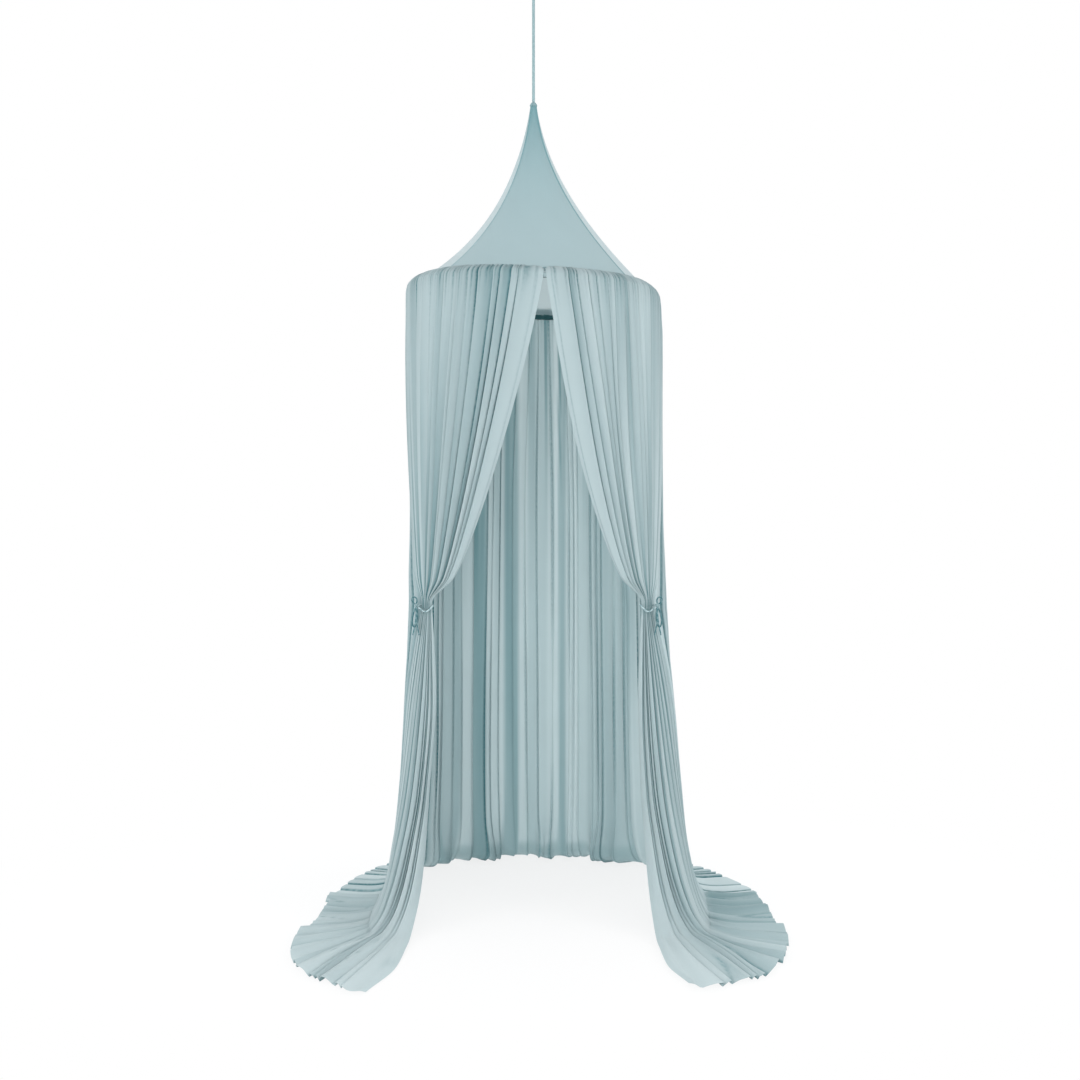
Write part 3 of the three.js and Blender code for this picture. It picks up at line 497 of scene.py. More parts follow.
# Curtain cloth
# One long width of light, slightly sheer jersey is gathered into the cone's seam just above the hoop. It
# rolls over the hoop and falls to the floor in flat lapped pleats, with painted shade in its creases and
# where it lies over itself.
cloth_dye = (0.60, 0.695, 0.71, 1)
cloth_dye_deep_and_shade = (0.09, 0.23, 0.255, 1)
curtain_cloth = knitted_finish("curtain_cloth", cloth_dye, cloth_dye_deep_and_shade, 0.0011, 0.0010, 0.0006,
                               mottle=0.07, sheen=0.3, creasing=1.2, through=0.35)
cloth_top = 1.4037
floor_lift = 0.0015
cloth_lift = 0.001
# Shares of the roll over the hoop, from the seam on the cone: (out, up)
roll_shares = [(0, 1), (0.2, 0.92), (0.52, 0.72), (0.84, 0.40), (0.97, 0.10), (1, -0.29)]
roll_outer = 0.2975
roll_rise_aside = 0.0330
roll_rise_front = 0.0185
roll_inner_aside = 0.2630
roll_inner_front = 0.2750
roll_lower_left = 0.006
roll_length = 0.042
landing_height = 0.14
bunching = 0.030
tuck_width = 0.0095
tuck_depth = 0.0034


def eased(at, knots, values):
    """A smooth line through values at knots that never swings past them."""
    knots, values = np.asarray(knots, dtype=float), np.asarray(values, dtype=float)
    at = np.asarray(at, dtype=float)
    shape = (-1,) + (1,) * (values.ndim - 1)
    step = np.diff(knots).reshape(shape)
    rise = np.diff(values, axis=0) / step
    slope = np.zeros_like(values)
    slope[0], slope[-1] = rise[0], rise[-1]
    both = rise[:-1] * rise[1:]
    total = rise[:-1] + rise[1:]
    slope[1:-1] = np.where(both > 0, 2 * both / np.where(np.abs(total) < 1e-12, 1, total), 0)
    k = np.clip(np.searchsorted(knots, at, side="right") - 1, 0, len(knots) - 2)
    s = np.clip((at - knots[k]) / (knots[k + 1] - knots[k]), 0, 1).reshape(shape)
    step = (knots[k + 1] - knots[k]).reshape(shape)
    return (values[k] * (2 * s ** 3 - 3 * s ** 2 + 1) + slope[k] * step * (s ** 3 - 2 * s ** 2 + s)
            + values[k + 1] * (3 * s ** 2 - 2 * s ** 3) + slope[k + 1] * step * (s ** 3 - s ** 2))


# Rows of the cloth: the roll over the hoop, the fall to the ties, and the fall from there to the hem
roll_rows = np.linspace(0, 1, 14)[:-1]
upper_rows = np.linspace(0, 1, 90)
lower_rows = np.linspace(0, 1, 140)[1:]
fall_count = len(upper_rows)
neck_low = 0.673
lower_knots = [0, 0.18, 0.36, 0.46, 0.535, 0.60, 0.68, 0.83, 1]
lower_heights = [neck_low, 0.465, 0.257, 0.150, 0.075, 0.028, 0.005, 0.0, 0.0]
# Where the cloth is followed across one pleat, from crease to crease, closest together beside the creases
pleat_places = [0, 0.02, 0.045, 0.075, 0.115, 0.17, 0.25, 0.35, 0.5, 0.65, 0.75, 0.83, 0.885, 0.925, 0.955,
                0.98]
pleat_sway = 0.3
pleat_tilts = (0.2, 1.1)


def wander(rng, count, where, spacing, low, high):
    """Values for each of count pleats that change slowly down the cloth, between low and high."""
    knots = np.arange(where.min() - spacing, where.max() + 2 * spacing, spacing)
    return eased(where, knots, rng.uniform(low, high, (len(knots), count)))


def pleats(down, edges, seed, lap=0.16, shallow=0.2, tones=(0.05, 0.62), spacing=0.3, crease_tone=1.0):
    """Flat pleats that lap one over the next. Gives for each place on the cloth: its share of the width, the
    number of its pleat, where it hangs, how far it stands out (0 to 1), its sideways lap, how deep the
    painted shade of its crease is, and the painted shade and highlight where cloth lies over itself and its
    panel turns from or to the light."""
    rng = np.random.default_rng(seed)
    count = len(edges) - 1
    share = np.append(np.tile(pleat_places, count), 1.0)
    pleat = np.append(np.repeat(np.arange(count), len(pleat_places)), count - 1)
    width = (edges[1:] - edges[:-1])[pleat]
    across = edges[pleat] + width * share
    swing = wander(rng, 3, down, spacing * 1.6, -1, 1)
    waves = np.stack([np.sin(across * 5 + 1), np.sin(across * 11), np.cos(across * 17)])
    where = across - pleat_sway / count * 4 * across * (1 - across) * (swing @ waves)
    depth = wander(rng, count + 1, down, spacing, shallow, 1)
    depth[:, [0, -1]] = 1
    tilt = wander(rng, count, down, spacing, *pleat_tilts)[:, pleat]
    over = wander(rng, count, down, spacing * 2, 0.6, 1)[:, pleat] * lap
    shade = wander(rng, count, down, spacing * 2, *tones)[:, pleat]
    turned_away = wander(rng, count, down, spacing * 1.5, -1.0, 1.0)[:, pleat]
    beside = np.where(share < 0.5, pleat, pleat + 1)
    edge = np.minimum(share, 1 - share)
    narrow = rng.uniform(0.045, 0.085, count + 1)[beside]
    groove = np.exp(-(edge / narrow) ** 1.6)
    crease = depth[:, beside]
    inner = ((beside > 0) & (beside < count)).astype(float)
    panel = (1 - 0.18 * np.exp(-(edge / 0.2) ** 2)) * (1 + np.sign(lap) * tilt * (share - 0.5))
    stand = panel * (1 - groove * crease)
    lapped = over * (1 - groove) * width
    # Painted shade deepens the colour in each crease, a painted highlight runs along the panel's edge beside
    # it, and each panel gets painted shade, deeper where cloth lies over itself and on its side turned from
    # the light.
    tone = crease_tone * inner * crease ** 1.5 * np.exp(-(edge / (1.1 * narrow)) ** 2)
    painted_highlight = 0.10 * np.exp(-((edge - 0.13) / 0.05) ** 2) * crease
    layers_and_shade = 0.05 + shade * (0.7 + 1.2 * turned_away * (share - 0.5)) - painted_highlight
    return across, pleat, where, stand, lapped, tone, np.clip(layers_and_shade, 0, 1)


def edges_of(widths):
    """Where widths that lie side by side start and end, as shares of their sum."""
    return np.concatenate([[0], np.cumsum(widths) / np.sum(widths)])


def uneven_edges(count, seed, spread=0.55):
    """Where pleats of uneven width meet, as shares of the cloth's width."""
    return edges_of(1 + np.random.default_rng(seed).uniform(-spread, spread, count))


def sampled(grid, where):
    """The values of a grid at the given shares of its width, row by row."""
    place = np.clip(where, 0, 1) * (grid.shape[1] - 1)
    left = np.minimum(place.astype(int), grid.shape[1] - 2)
    part = (place - left)[..., None]
    row = np.arange(grid.shape[0])[:, None]
    return grid[row, left] * (1 - part) + grid[row, left + 1] * part


def path_down(base):
    """How far each row lies down the middle of the cloth."""
    return run_along(base[:, base.shape[1] // 2])


def draped(name, base, across, where, stand, lapped, tone, layers_and_shade, depth, outward, width, shift=None):
    """Turns a smooth surface into pleated cloth: depth is how far its pleats stand out, in metres."""
    sideways = np.gradient(base, axis=1) * (base.shape[1] - 1)
    down = np.gradient(base, axis=0)
    facing = unit(np.cross(sideways, down)) * outward
    points = sampled(base, where) + sampled(facing, where) * (depth * stand)[..., None]
    points = points + sampled(sideways, where) * lapped[..., None]
    if shift is not None:
        points = points + sampled(unit(down), where) * shift[..., None]
    points[..., 2] = np.maximum(points[..., 2], floor_lift - ceiling_height)
    lay = np.zeros_like(points)
    lay[..., 0] = across * width
    lay[..., 1] = path_down(base)[:, None]
    lay[..., 2] = np.clip(tone, 0, 1)
    piece = sewn_mesh(name, points, lay, curtain_cloth, layers_and_shade=np.clip(layers_and_shade, 0, 1))
    return piece, points


def gathered_in(piece, node):
    """Says that a width hangs from the cone's seam and what it stands for."""
    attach(piece, "canopy")
    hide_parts(node, "gathered_header")


def roll_over(azimuth):
    """The cloth's line from the seam on the cone over the hoop to where it falls, for each azimuth."""
    shares = eased(roll_rows, np.linspace(0, 1, len(roll_shares)), roll_shares)
    out, rise = shares[:, :1], shares[:, 1:]
    aside = np.sin(azimuth) ** 2
    inner = roll_inner_front + (roll_inner_aside - roll_inner_front) * aside
    side_rise = roll_rise_aside - roll_lower_left * (np.sin(azimuth) < 0)
    lift = np.where(rise > 0, roll_rise_front + (side_rise - roll_rise_front) * aside, roll_rise_aside)
    return leaned(hung_round(azimuth, inner + (roll_outer - inner) * out, hoop_height + lift * rise))


upper_heights = cloth_top - (cloth_top - neck_low) * upper_rows
all_heights = np.concatenate([upper_heights, eased(lower_rows, lower_knots, lower_heights)])
# Outer reach of the pleats at each side and the back, by height, and of the hem, by degrees from the front
side_reach = {
    -1: ([0, 0.079, 0.158, 0.268, 0.357, 0.491, 0.637, 0.728, 0.80, 0.92, 1.029, 1.168, 1.33, 1.404],
         [0.346, 0.341, 0.331, 0.3205, 0.3135, 0.3095, 0.308, 0.307, 0.304, 0.299, 0.3005, 0.304, 0.3045,
          0.3015]),
    1: ([0, 0.065, 0.137, 0.268, 0.402, 0.558, 0.656, 0.766, 0.876, 1.022, 1.168, 1.335, 1.404],
        [0.385, 0.377, 0.365, 0.352, 0.341, 0.335, 0.333, 0.326, 0.319, 0.313, 0.310, 0.309, 0.3015]),
}
back_reach = ([0, 0.10, 0.4, 0.9, 1.30, 1.404], [0.314, 0.310, 0.308, 0.306, 0.3045, 0.3015])
hem_reach = {-1: ([70, 80, 98, 128, 180], [0.478, 0.474, 0.454, 0.450, 0.445]),
             1: ([70, 82, 92, 102, 124, 180], [0.532, 0.524, 0.500, 0.480, 0.476, 0.445])}
# How far the pleats stand out, by the length of cloth from the seam
pleat_depth = ([0, 0.012, 0.042, 0.08, 0.20, 0.45, 1.0, 1.36, 1.46, 1.65],
               [0.0012, 0.0020, 0.0040, 0.0055, 0.0085, 0.0100, 0.0105, 0.0105, 0.0065, 0.0045])


def fall_base(azimuth):
    """The smooth cloth behind the pleats where it falls straight from the hoop, from the roll to the hem."""
    rows = []
    depth = eased(roll_length + cloth_top - all_heights, *pleat_depth)
    landing = np.clip(1 - all_heights / landing_height, 0, 1) ** 2
    landing[fall_count:] *= np.clip((0.9 - lower_rows) / 0.25, 0, 1)
    floor_part = eased(lower_rows, [0, 0.535, 0.60, 0.68, 1], [0, 0.01, 0.04, 0.20, 1])
    for angle in azimuth:
        hand = 1 if math.sin(angle) > 0 else -1
        degrees = abs(math.degrees((angle + math.pi) % (2 * math.pi) - math.pi))
        sideways = np.clip((152 - degrees) / 52, 0, 1)
        sideways = sideways ** 2 * (3 - 2 * sideways)
        reach = ((1 - sideways) * eased(all_heights, *back_reach)
                 + sideways * eased(all_heights, *side_reach[hand]))
        bunched = bunching * (1 - sideways) * (math.sin(angle * 13) + 0.6 * math.sin(angle * 29 + 1) + 0.4)
        radius = reach - depth - bunched * landing
        hem = eased([degrees], *hem_reach[hand])[0]
        radius[fall_count:] = radius[fall_count:] * (1 - floor_part) + hem * floor_part
        rows.append(hung_round(angle, radius, all_heights + cloth_lift))
    base = np.stack(rows, 1)
    base[..., 2] -= math.tan(lean) * base[..., 0] * np.clip(all_heights / cloth_top, 0, 1)[:, None]
    return np.concatenate([roll_over(azimuth), base])


def gathers(across, down, width, seed):
    """The small tucks where the cloth is gathered into the seam, as (standing out in metres, painted shade
    between them).
    """
    rng = np.random.default_rng(seed)
    edges = uneven_edges(max(4, int(width / tuck_width)), seed)
    tuck = np.clip(np.searchsorted(edges, across, side="right") - 1, 0, len(edges) - 2)
    fold = np.sin(math.pi * (across - edges[tuck]) / (edges[1:] - edges[:-1])[tuck])
    length = rng.uniform(0.010, 0.080, len(edges))[tuck]
    border = np.clip(across * (1 - across) * 60, 0, 1)
    below = np.maximum(down[:, None] - 0.022, 0)
    tone = 0.8 * (1 - fold) ** 3 * np.exp(-below / (0.5 * length + 0.006)) * border
    return tuck_depth * fold * np.exp(-below / length) * border, tone


def hem_steps(rng, pleat, rows, reach):
    """How far each few pleats' ends lie beyond or short of the hem's line, fading out up the cloth."""
    ends = np.repeat(rng.uniform(-reach, reach, pleat.max() // 3 + 1), 3)
    return ends[pleat][None, :] * (np.clip((rows - 0.72) / 0.28, 0, 1) ** 1.5)[:, None]


# Back curtain
# The rear third of the cloth hangs almost straight to the floor and trails behind in a shallow pool. From the
# front its inner face shows broad light and dark bands of painted shade, where the cloth lies single and in
# three layers.
base_across = np.linspace(0, 1, 240)
back_span = math.radians(100)
back_azimuth = math.pi - back_span / 2
back_width = 0.517
back_base = fall_base(back_azimuth + back_span * base_across)
back_down = path_down(back_base)
back_depth = eased(back_down, *pleat_depth)[:, None]
tie_row = len(roll_rows) + fall_count
all_rows = np.concatenate([np.zeros(tie_row), lower_rows])
band_widths = [2.9, 16.4, 3.9, 11.0, 3.5, 5.9, 4.9, 4.4, 4.4, 7.0, 9.3, 7.1, 7.1, 10.0, 2.2]
band_layers = [0.40, 0.24, 0.16, 0.02, 0.50, 0.03, 0.14, 0.24, 0.02, 0.48, 0.02, 0.50, 0.04, 0.26, 0.5]


def banded(where, widths, layers_and_shade, soft):
    """Layers of broad bands across the cloth that blend softly where they meet."""
    meets = edges_of(widths)[1:-1]
    knots = np.repeat(meets, 2) + np.tile([-soft / 2, soft / 2], len(meets))
    return np.interp(where, knots, np.repeat(layers_and_shade, 2)[1:-1])


across, pleat, where, stand, lapped, tone, layers_and_shade = pleats(
    back_down, uneven_edges(19, 11, 0.6), 12, lap=0.05, shallow=0.0, tones=(0.0, 0.15), spacing=0.35,
    crease_tone=0.35)
rng = np.random.default_rng(15)
# Finer light and dark bands of painted shade, strongest at the top inside the canopy, fade out down the
# cloth.
top_bands = banded(where, rng.uniform(0.4, 1.8, 50), rng.uniform(-0.35, 0.55, 50), 0.006)
slow = 0.5 * (1 + np.sin(back_down[:, None] * 3 + across * 40))
layers_and_shade = layers_and_shade + banded(where, band_widths, band_layers, 0.014) * (0.85 + 0.25 * slow) + 0.08
layers_and_shade = layers_and_shade + top_bands * np.exp(-(back_down[:, None] / 0.45) ** 2)
tuck_stand, tuck_shade = gathers(across, back_down, back_width, 13)
# The pool behind, showing through the foot of the cloth up to about 5 cm where few layers hide it, is painted
# there as darker colour
pool_top = 0.050 + 0.003 * np.sin(across * 21) + 0.002 * np.sin(across * 47 + 1)
pooled = np.exp(-(np.append(np.full(len(roll_rows), cloth_top), all_heights)[:, None] / pool_top) ** 8)
pooled = pooled * np.clip((0.72 - all_rows) * 9, 0, 1)[:, None]
layers_and_shade = layers_and_shade + 0.42 * pooled * np.clip(1 - 1.7 * layers_and_shade, 0, 1)
back, _ = draped("curtain_back", back_base, across, where, stand + tuck_stand / back_depth, lapped,
                 tone + tuck_shade, layers_and_shade, back_depth, -1, 0.86,
                 shift=hem_steps(np.random.default_rng(14), pleat, all_rows, 0.006))
gathered_in(back, "back_curtain")

# Front curtains
# Each front length runs from the gap round to the side. It is swept back into a narrow neck at the tie, so
# that its pleats gather like rays. Its inner hem is a broad smooth band, and a bar tack holds both lengths
# together at the top of the gap.
gap_azimuth = math.radians(5)
gap_parted = 0.004
edge_azimuth = math.radians(88)
front_width = 0.48
front_dark_pleats = [3, 5, 8, 10, 13, 15]
bar_tack_thread = 0.0005
neck_width = 0.028
neck_depth = 0.006
neck_turn = math.radians(24)
sides = {
    -1: dict(word="left", tie_azimuth=math.radians(64), tie_inset=0.023,
             sweep=([0, 0.1, 0.25, 0.5, 0.75, 0.9, 0.98, 1], [0, 0.058, 0.160, 0.362, 0.602, 0.792, 1, 1]),
             panels=[0.105, 0.04, 0.055, 0.03, 0.07, 0.045, 0.06, 0.035, 0.075, 0.05, 0.035, 0.06, 0.045,
                     0.07, 0.04, 0.055, 0.05, 0.08]),
    1: dict(word="right", tie_azimuth=math.radians(65.6), tie_inset=0.008,
            sweep=([0, 0.1, 0.25, 0.5, 0.75, 0.9, 0.98, 1], [0, 0.056, 0.140, 0.310, 0.557, 0.773, 1, 1]),
            panels=[0.115, 0.05, 0.065, 0.04, 0.055, 0.035, 0.07, 0.04, 0.06, 0.05, 0.04, 0.065, 0.035, 0.05,
                    0.07, 0.045, 0.05, 0.065]),
}
curtain_radius = 0.296


def at_tie(hand, along, front, height):
    """A place at a tie, from how far it lies along the flat neck of cloth and in front of it."""
    reach, azimuth = curtain_radius - sides[hand]["tie_inset"], sides[hand]["tie_azimuth"]
    out = reach * math.sin(azimuth) + along * math.cos(neck_turn) + front * math.sin(neck_turn)
    forward = reach * math.cos(azimuth) - along * math.sin(neck_turn) + front * math.cos(neck_turn)
    return np.stack([hand * out, -forward, np.broadcast_to(height - ceiling_height, out.shape)], -1)


def in_neck(across, stand, open_depth, near_neck, tucks=0.0):
    """How deep the pleats are, and how far each place stands out, as the cloth narrows into a tie."""
    envelope = neck_depth * np.sqrt(np.maximum(0.02, 1 - (2 * across - 1) ** 2))
    depth = open_depth * (1 - near_neck) + envelope * near_neck
    return depth, (stand + tucks / depth) * (1 - near_neck) + (0.7 + 0.3 * stand) * near_neck


def folded_under(pleat, hidden):
    """Which pleats lie mostly under their neighbours where the cloth is drawn together, and get painted
    shade.
    """
    return np.isin(pleat, hidden).astype(float)


def front_base(hand, across):
    """The smooth cloth behind the pleats of a front curtain, from the seam on the cone to the tie's neck."""
    azimuth = gap_azimuth + (hand * edge_azimuth - gap_azimuth) * across
    parted = hand * gap_parted * (1 - across) ** 4
    top = hung_round(azimuth, roll_outer, cloth_top)
    top[..., 2] -= math.tan(lean) * top[..., 0]
    top[..., 0] += parted
    neck = at_tie(hand, (across - 0.5) * neck_width, 0.0, neck_low)
    share = eased(upper_rows, *sides[hand]["sweep"])[:, None, None]
    base = top * (1 - share) + neck * share
    fall = upper_rows[:, None]
    base[..., 2] = top[:, 2] * (1 - fall) + neck[:, 2] * fall
    roll = roll_over(azimuth)
    roll[..., 0] += parted * roll_rows[:, None]
    return np.concatenate([roll, base])


fronts = {}
gap_edges = {}
for hand, side in sides.items():
    fronts[hand] = base = front_base(hand, base_across)
    down = path_down(base)
    edges = edges_of(side["panels"])
    across, pleat, where, stand, lapped, tone, layers_and_shade = pleats(down, edges, 30 + hand, lap=0.15, spacing=0.28)
    tuck_stand, tuck_shade = gathers(across, down, front_width, 40 + hand)
    share = np.concatenate([np.zeros(len(roll_rows)), eased(upper_rows, *side["sweep"])])[:, None]
    near_neck = share ** 3
    drawn_in = share ** 2
    depth, raised = in_neck(across, stand, eased(down, *pleat_depth)[:, None], near_neck, tuck_stand)
    hem_band = np.clip(across / edges[1], 0, 1)
    hem_line = 0.3 * np.exp(-((across - 0.014) / 0.003) ** 2)
    tone = np.where(hem_band < 1, tone * hem_band ** 3, tone) + hem_line
    layers_and_shade = np.where(hem_band < 1, 0.10 + 0.5 * layers_and_shade * hem_band, layers_and_shade * (1 - 0.5 * drawn_in))
    # The colour is deepened just below the seam and where the cloth goes into the tie, and painted shade
    # falls on the pleats that lie under their neighbours near the tie.
    layers_and_shade = layers_and_shade + 0.08 * np.exp(-down[:, None] / 0.07)
    layers_and_shade = layers_and_shade + 0.85 * folded_under(pleat, front_dark_pleats) * drawn_in
    layers_and_shade = layers_and_shade + 0.25 * np.exp(-((down[:, None] - down[-1] + 0.004) / 0.012) ** 2)
    # The outermost pleat laps back over the edge of the side cloth, between the hoop and the tie
    overlap = np.clip((base_across - 0.93) / 0.07, 0, 1) * np.sin(math.pi * np.clip(share, 0, 1) ** 0.6)
    base = base + overlap[..., None] * np.array([hand * 0.005, 0.012, 0])
    piece, points = draped(f"curtain_{side['word']}_front", base, across, where, raised,
                           lapped * (1 - near_neck), tone + tuck_shade, layers_and_shade, depth, -hand, 0.80)
    gap_edges[hand] = points[:, 0]
    gathered_in(piece, f"{side['word']}_front_curtain")
t = np.linspace(0, 1, 7)[:, None]
sagged = np.hstack([0 * t, -0.0006 * np.sin(math.pi * t), 0.0008 * (t - 0.5)])
for row in (1, 2, 3, 4):
    start, end = (gap_edges[hand][row] + np.array([hand * 0.0035, -0.0022, 0]) for hand in (-1, 1))
    tack = round_cord(f"bar_tack_{row}", start * (1 - t) + end * t + sagged, bar_tack_thread, knitted_cord,
                      sides=8, tone=0.6)
    fitted(tack, "canopy", "cord")

# Trains
# Below each tie the front length falls as a narrow bundle of long fine folds beside one broad smooth band. It
# runs forward on the floor as a tongue. The rest of it turns outward there in a flat fan of stepped folds.
train_shares = [0, 0.35, 0.70, 1]
train_stations = {
    -1: [  # (out, forward) at the train shares, from the inner edge to the outer edge, at each height
        ((0.222, 0.150), (0.252, 0.158), (0.275, 0.135), (0.286, 0.098)),
        ((0.2335, 0.200), (0.268, 0.228), (0.294, 0.170), (0.301, 0.085)),
        ((0.236, 0.285), (0.282, 0.300), (0.307, 0.205), (0.311, 0.085)),
        ((0.240, 0.360), (0.296, 0.372), (0.317, 0.245), (0.321, 0.095)),
        ((0.247, 0.440), (0.312, 0.432), (0.333, 0.285), (0.335, 0.120)),
        ((0.252, 0.530), (0.335, 0.490), (0.350, 0.320), (0.352, 0.140)),
        ((0.262, 0.690), (0.385, 0.570), (0.410, 0.340), (0.405, 0.120)),
    ],
    1: [
        ((0.240, 0.150), (0.272, 0.158), (0.300, 0.135), (0.314, 0.100)),
        ((0.243, 0.205), (0.288, 0.235), (0.322, 0.175), (0.333, 0.085)),
        ((0.246, 0.290), (0.302, 0.305), (0.336, 0.210), (0.344, 0.080)),
        ((0.249, 0.365), (0.318, 0.378), (0.348, 0.250), (0.358, 0.085)),
        ((0.252, 0.445), (0.336, 0.437), (0.363, 0.292), (0.376, 0.100)),
        ((0.254, 0.530), (0.360, 0.495), (0.380, 0.325), (0.396, 0.115)),
        ((0.260, 0.680), (0.410, 0.575), (0.440, 0.345), (0.450, 0.110)),
    ],
}
train_hem = {
    -1: ([0, 0.07, 0.15, 0.30, 0.45, 0.60, 0.80, 1],
         [(0.298, 0.843), (0.325, 0.858), (0.360, 0.805), (0.422, 0.740), (0.476, 0.590), (0.483, 0.44),
          (0.470, 0.257), (0.467, 0.083)]),
    1: ([0, 0.06, 0.14, 0.28, 0.42, 0.58, 0.78, 1],
        [(0.291, 0.812), (0.315, 0.850), (0.370, 0.812), (0.440, 0.762), (0.500, 0.600), (0.522, 0.44),
         (0.528, 0.250), (0.520, 0.073)]),
}
train_panels = [0.115, 0.03, 0.075, 0.025, 0.035, 0.085, 0.025, 0.06, 0.03, 0.07, 0.025, 0.08, 0.03, 0.025,
                0.06, 0.05, 0.03, 0.075, 0.04, 0.045]
train_dark_pleats = [1, 3, 6, 8, 10, 12, 13, 16]
train_rows = np.concatenate([[0], lower_rows])
floor_row = 0.62
# How far a train's pleats stand out, by its rows
train_depth = ([0, 0.08, 0.2, 0.45, floor_row, 0.75, 1], [0.003, 0.0045, 0.006, 0.008, 0.009, 0.009, 0.0075])
# How much the colour is deepened towards the outer edge of the floor part, and how much everywhere
fan_deepening = {-1: 0.10, 1: 0.40}
train_deepening = {-1: 0.05, 1: 0.10}


def train_base(hand, across):
    """The smooth cloth of a train, from the neck in the tie down to the floor and along it to the hem."""
    stations = [at_tie(hand, (across - 0.5) * neck_width, 0.0, neck_low)]
    lines = [eased(across, train_shares, places) for places in train_stations[hand]]
    for height, line in zip(lower_heights[1:], lines + [eased(across, *train_hem[hand])]):
        level = np.full(len(across), height - ceiling_height)
        stations.append(np.stack([hand * line[:, 0], -line[:, 1], level], -1))
    base = eased(train_rows, lower_knots, stations)
    base[..., 2] += cloth_lift
    return base


def crumpled(rng, across, down):
    """Low uneven swells of cloth that lies loose, and painted shade in the creases between them, for each
    place on it.
    """
    swell = np.zeros((len(down), len(across)))
    for _ in range(9):
        turn = rng.uniform(-9, 9) * across + rng.uniform(-1.6, 1.6) * down[:, None] + rng.uniform(0, 1)
        swell += np.sin(2 * math.pi * turn) / 3
    ripple = 0.5 + 0.5 * np.sin(across * 9 + down[:, None] * 17 + rng.uniform(0, 6))
    return 0.5 * np.abs(swell), 0.35 * ripple * np.exp(-(swell / 0.07) ** 2)


trains = {}
for hand, side in sides.items():
    trains[hand] = base = train_base(hand, base_across)
    down = path_down(base)
    rng = np.random.default_rng(60 + hand)
    across, pleat, where, stand, lapped, tone, layers_and_shade = pleats(
        down, edges_of(train_panels), 50 + hand, lap=0.18, shallow=0.4, spacing=0.22)
    floor_part = np.clip((train_rows - floor_row) / 0.10, 0, 1)[:, None]
    near_neck = np.clip(1 - train_rows / 0.08, 0, 1)[:, None] ** 2
    depth, raised = in_neck(across, stand, eased(train_rows, *train_depth)[:, None], near_neck)
    dark = folded_under(pleat, train_dark_pleats) * np.clip(1 - train_rows / floor_row, 0, 1)[:, None] ** 0.5
    swell, floor_crease_shade = crumpled(rng, across, down)
    raised = raised + swell * floor_part
    plainer = (1 - 0.35 * floor_part) * (1 - 0.6 * np.clip((0.17 - across) / 0.03, 0, 1))
    # Painted shade falls on the pleats that lie under their neighbours above the floor, and the colour is
    # deepened just below the tie.
    layers_and_shade = layers_and_shade * plainer * (1 - 0.4 * (1 - floor_part)) + 0.55 * dark + train_deepening[hand]
    layers_and_shade = layers_and_shade + fan_deepening[hand] * floor_part * across + 0.3 * np.exp(-(down[:, None] / 0.012) ** 2)
    piece, _ = draped(f"train_{side['word']}", base, across, where, raised, lapped * (1 - near_neck),
                      tone * plainer + floor_crease_shade * floor_part, layers_and_shade, depth, -hand, 0.80,
                      shift=hem_steps(rng, pleat, train_rows, 0.009))
    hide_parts(f"{side['word']}_train")
    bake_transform(piece)

# Side curtains
# The cloth between the ties and the back hangs from the hoop, is drawn a little towards the tie, and spreads
# on the floor beside the train.
side_width = 0.217
for hand, side in sides.items():
    base = fall_base(hand * (edge_azimuth + (back_azimuth - edge_azimuth) * base_across))
    edge = np.concatenate([fronts[hand][:, -1], trains[hand][1:, -1]])
    tuck = np.interp(np.arange(len(edge)), [0, len(roll_rows), tie_row, tie_row + 30], [0, 0, 1, 0])
    edge = edge + np.outer(tuck, (-hand * 0.002, 0.0085, 0))
    pull = (1 - base_across) ** 6 * np.clip((path_down(base) - 0.04) / 0.25, 0, 1)[:, None]
    pull[:, 0] = 1
    base = base * (1 - pull[..., None]) + edge[:, None] * pull[..., None]
    down = path_down(base)
    across, pleat, where, stand, lapped, tone, layers_and_shade = pleats(
        down, uneven_edges(9, 70 + hand, 0.5), 72 + hand, lap=-0.12)
    tuck_stand, tuck_shade = gathers(across, down, side_width, 74 + hand)
    depth = eased(down, *pleat_depth)[:, None]
    piece, _ = draped(f"curtain_{side['word']}_side", base, across, where, stand + tuck_stand / depth, lapped,
                      tone + tuck_shade, layers_and_shade, depth, -hand, 0.36,
                      shift=hem_steps(np.random.default_rng(76 + hand), pleat, all_rows, 0.007))
    gathered_in(piece, f"{side['word']}_side_curtain")

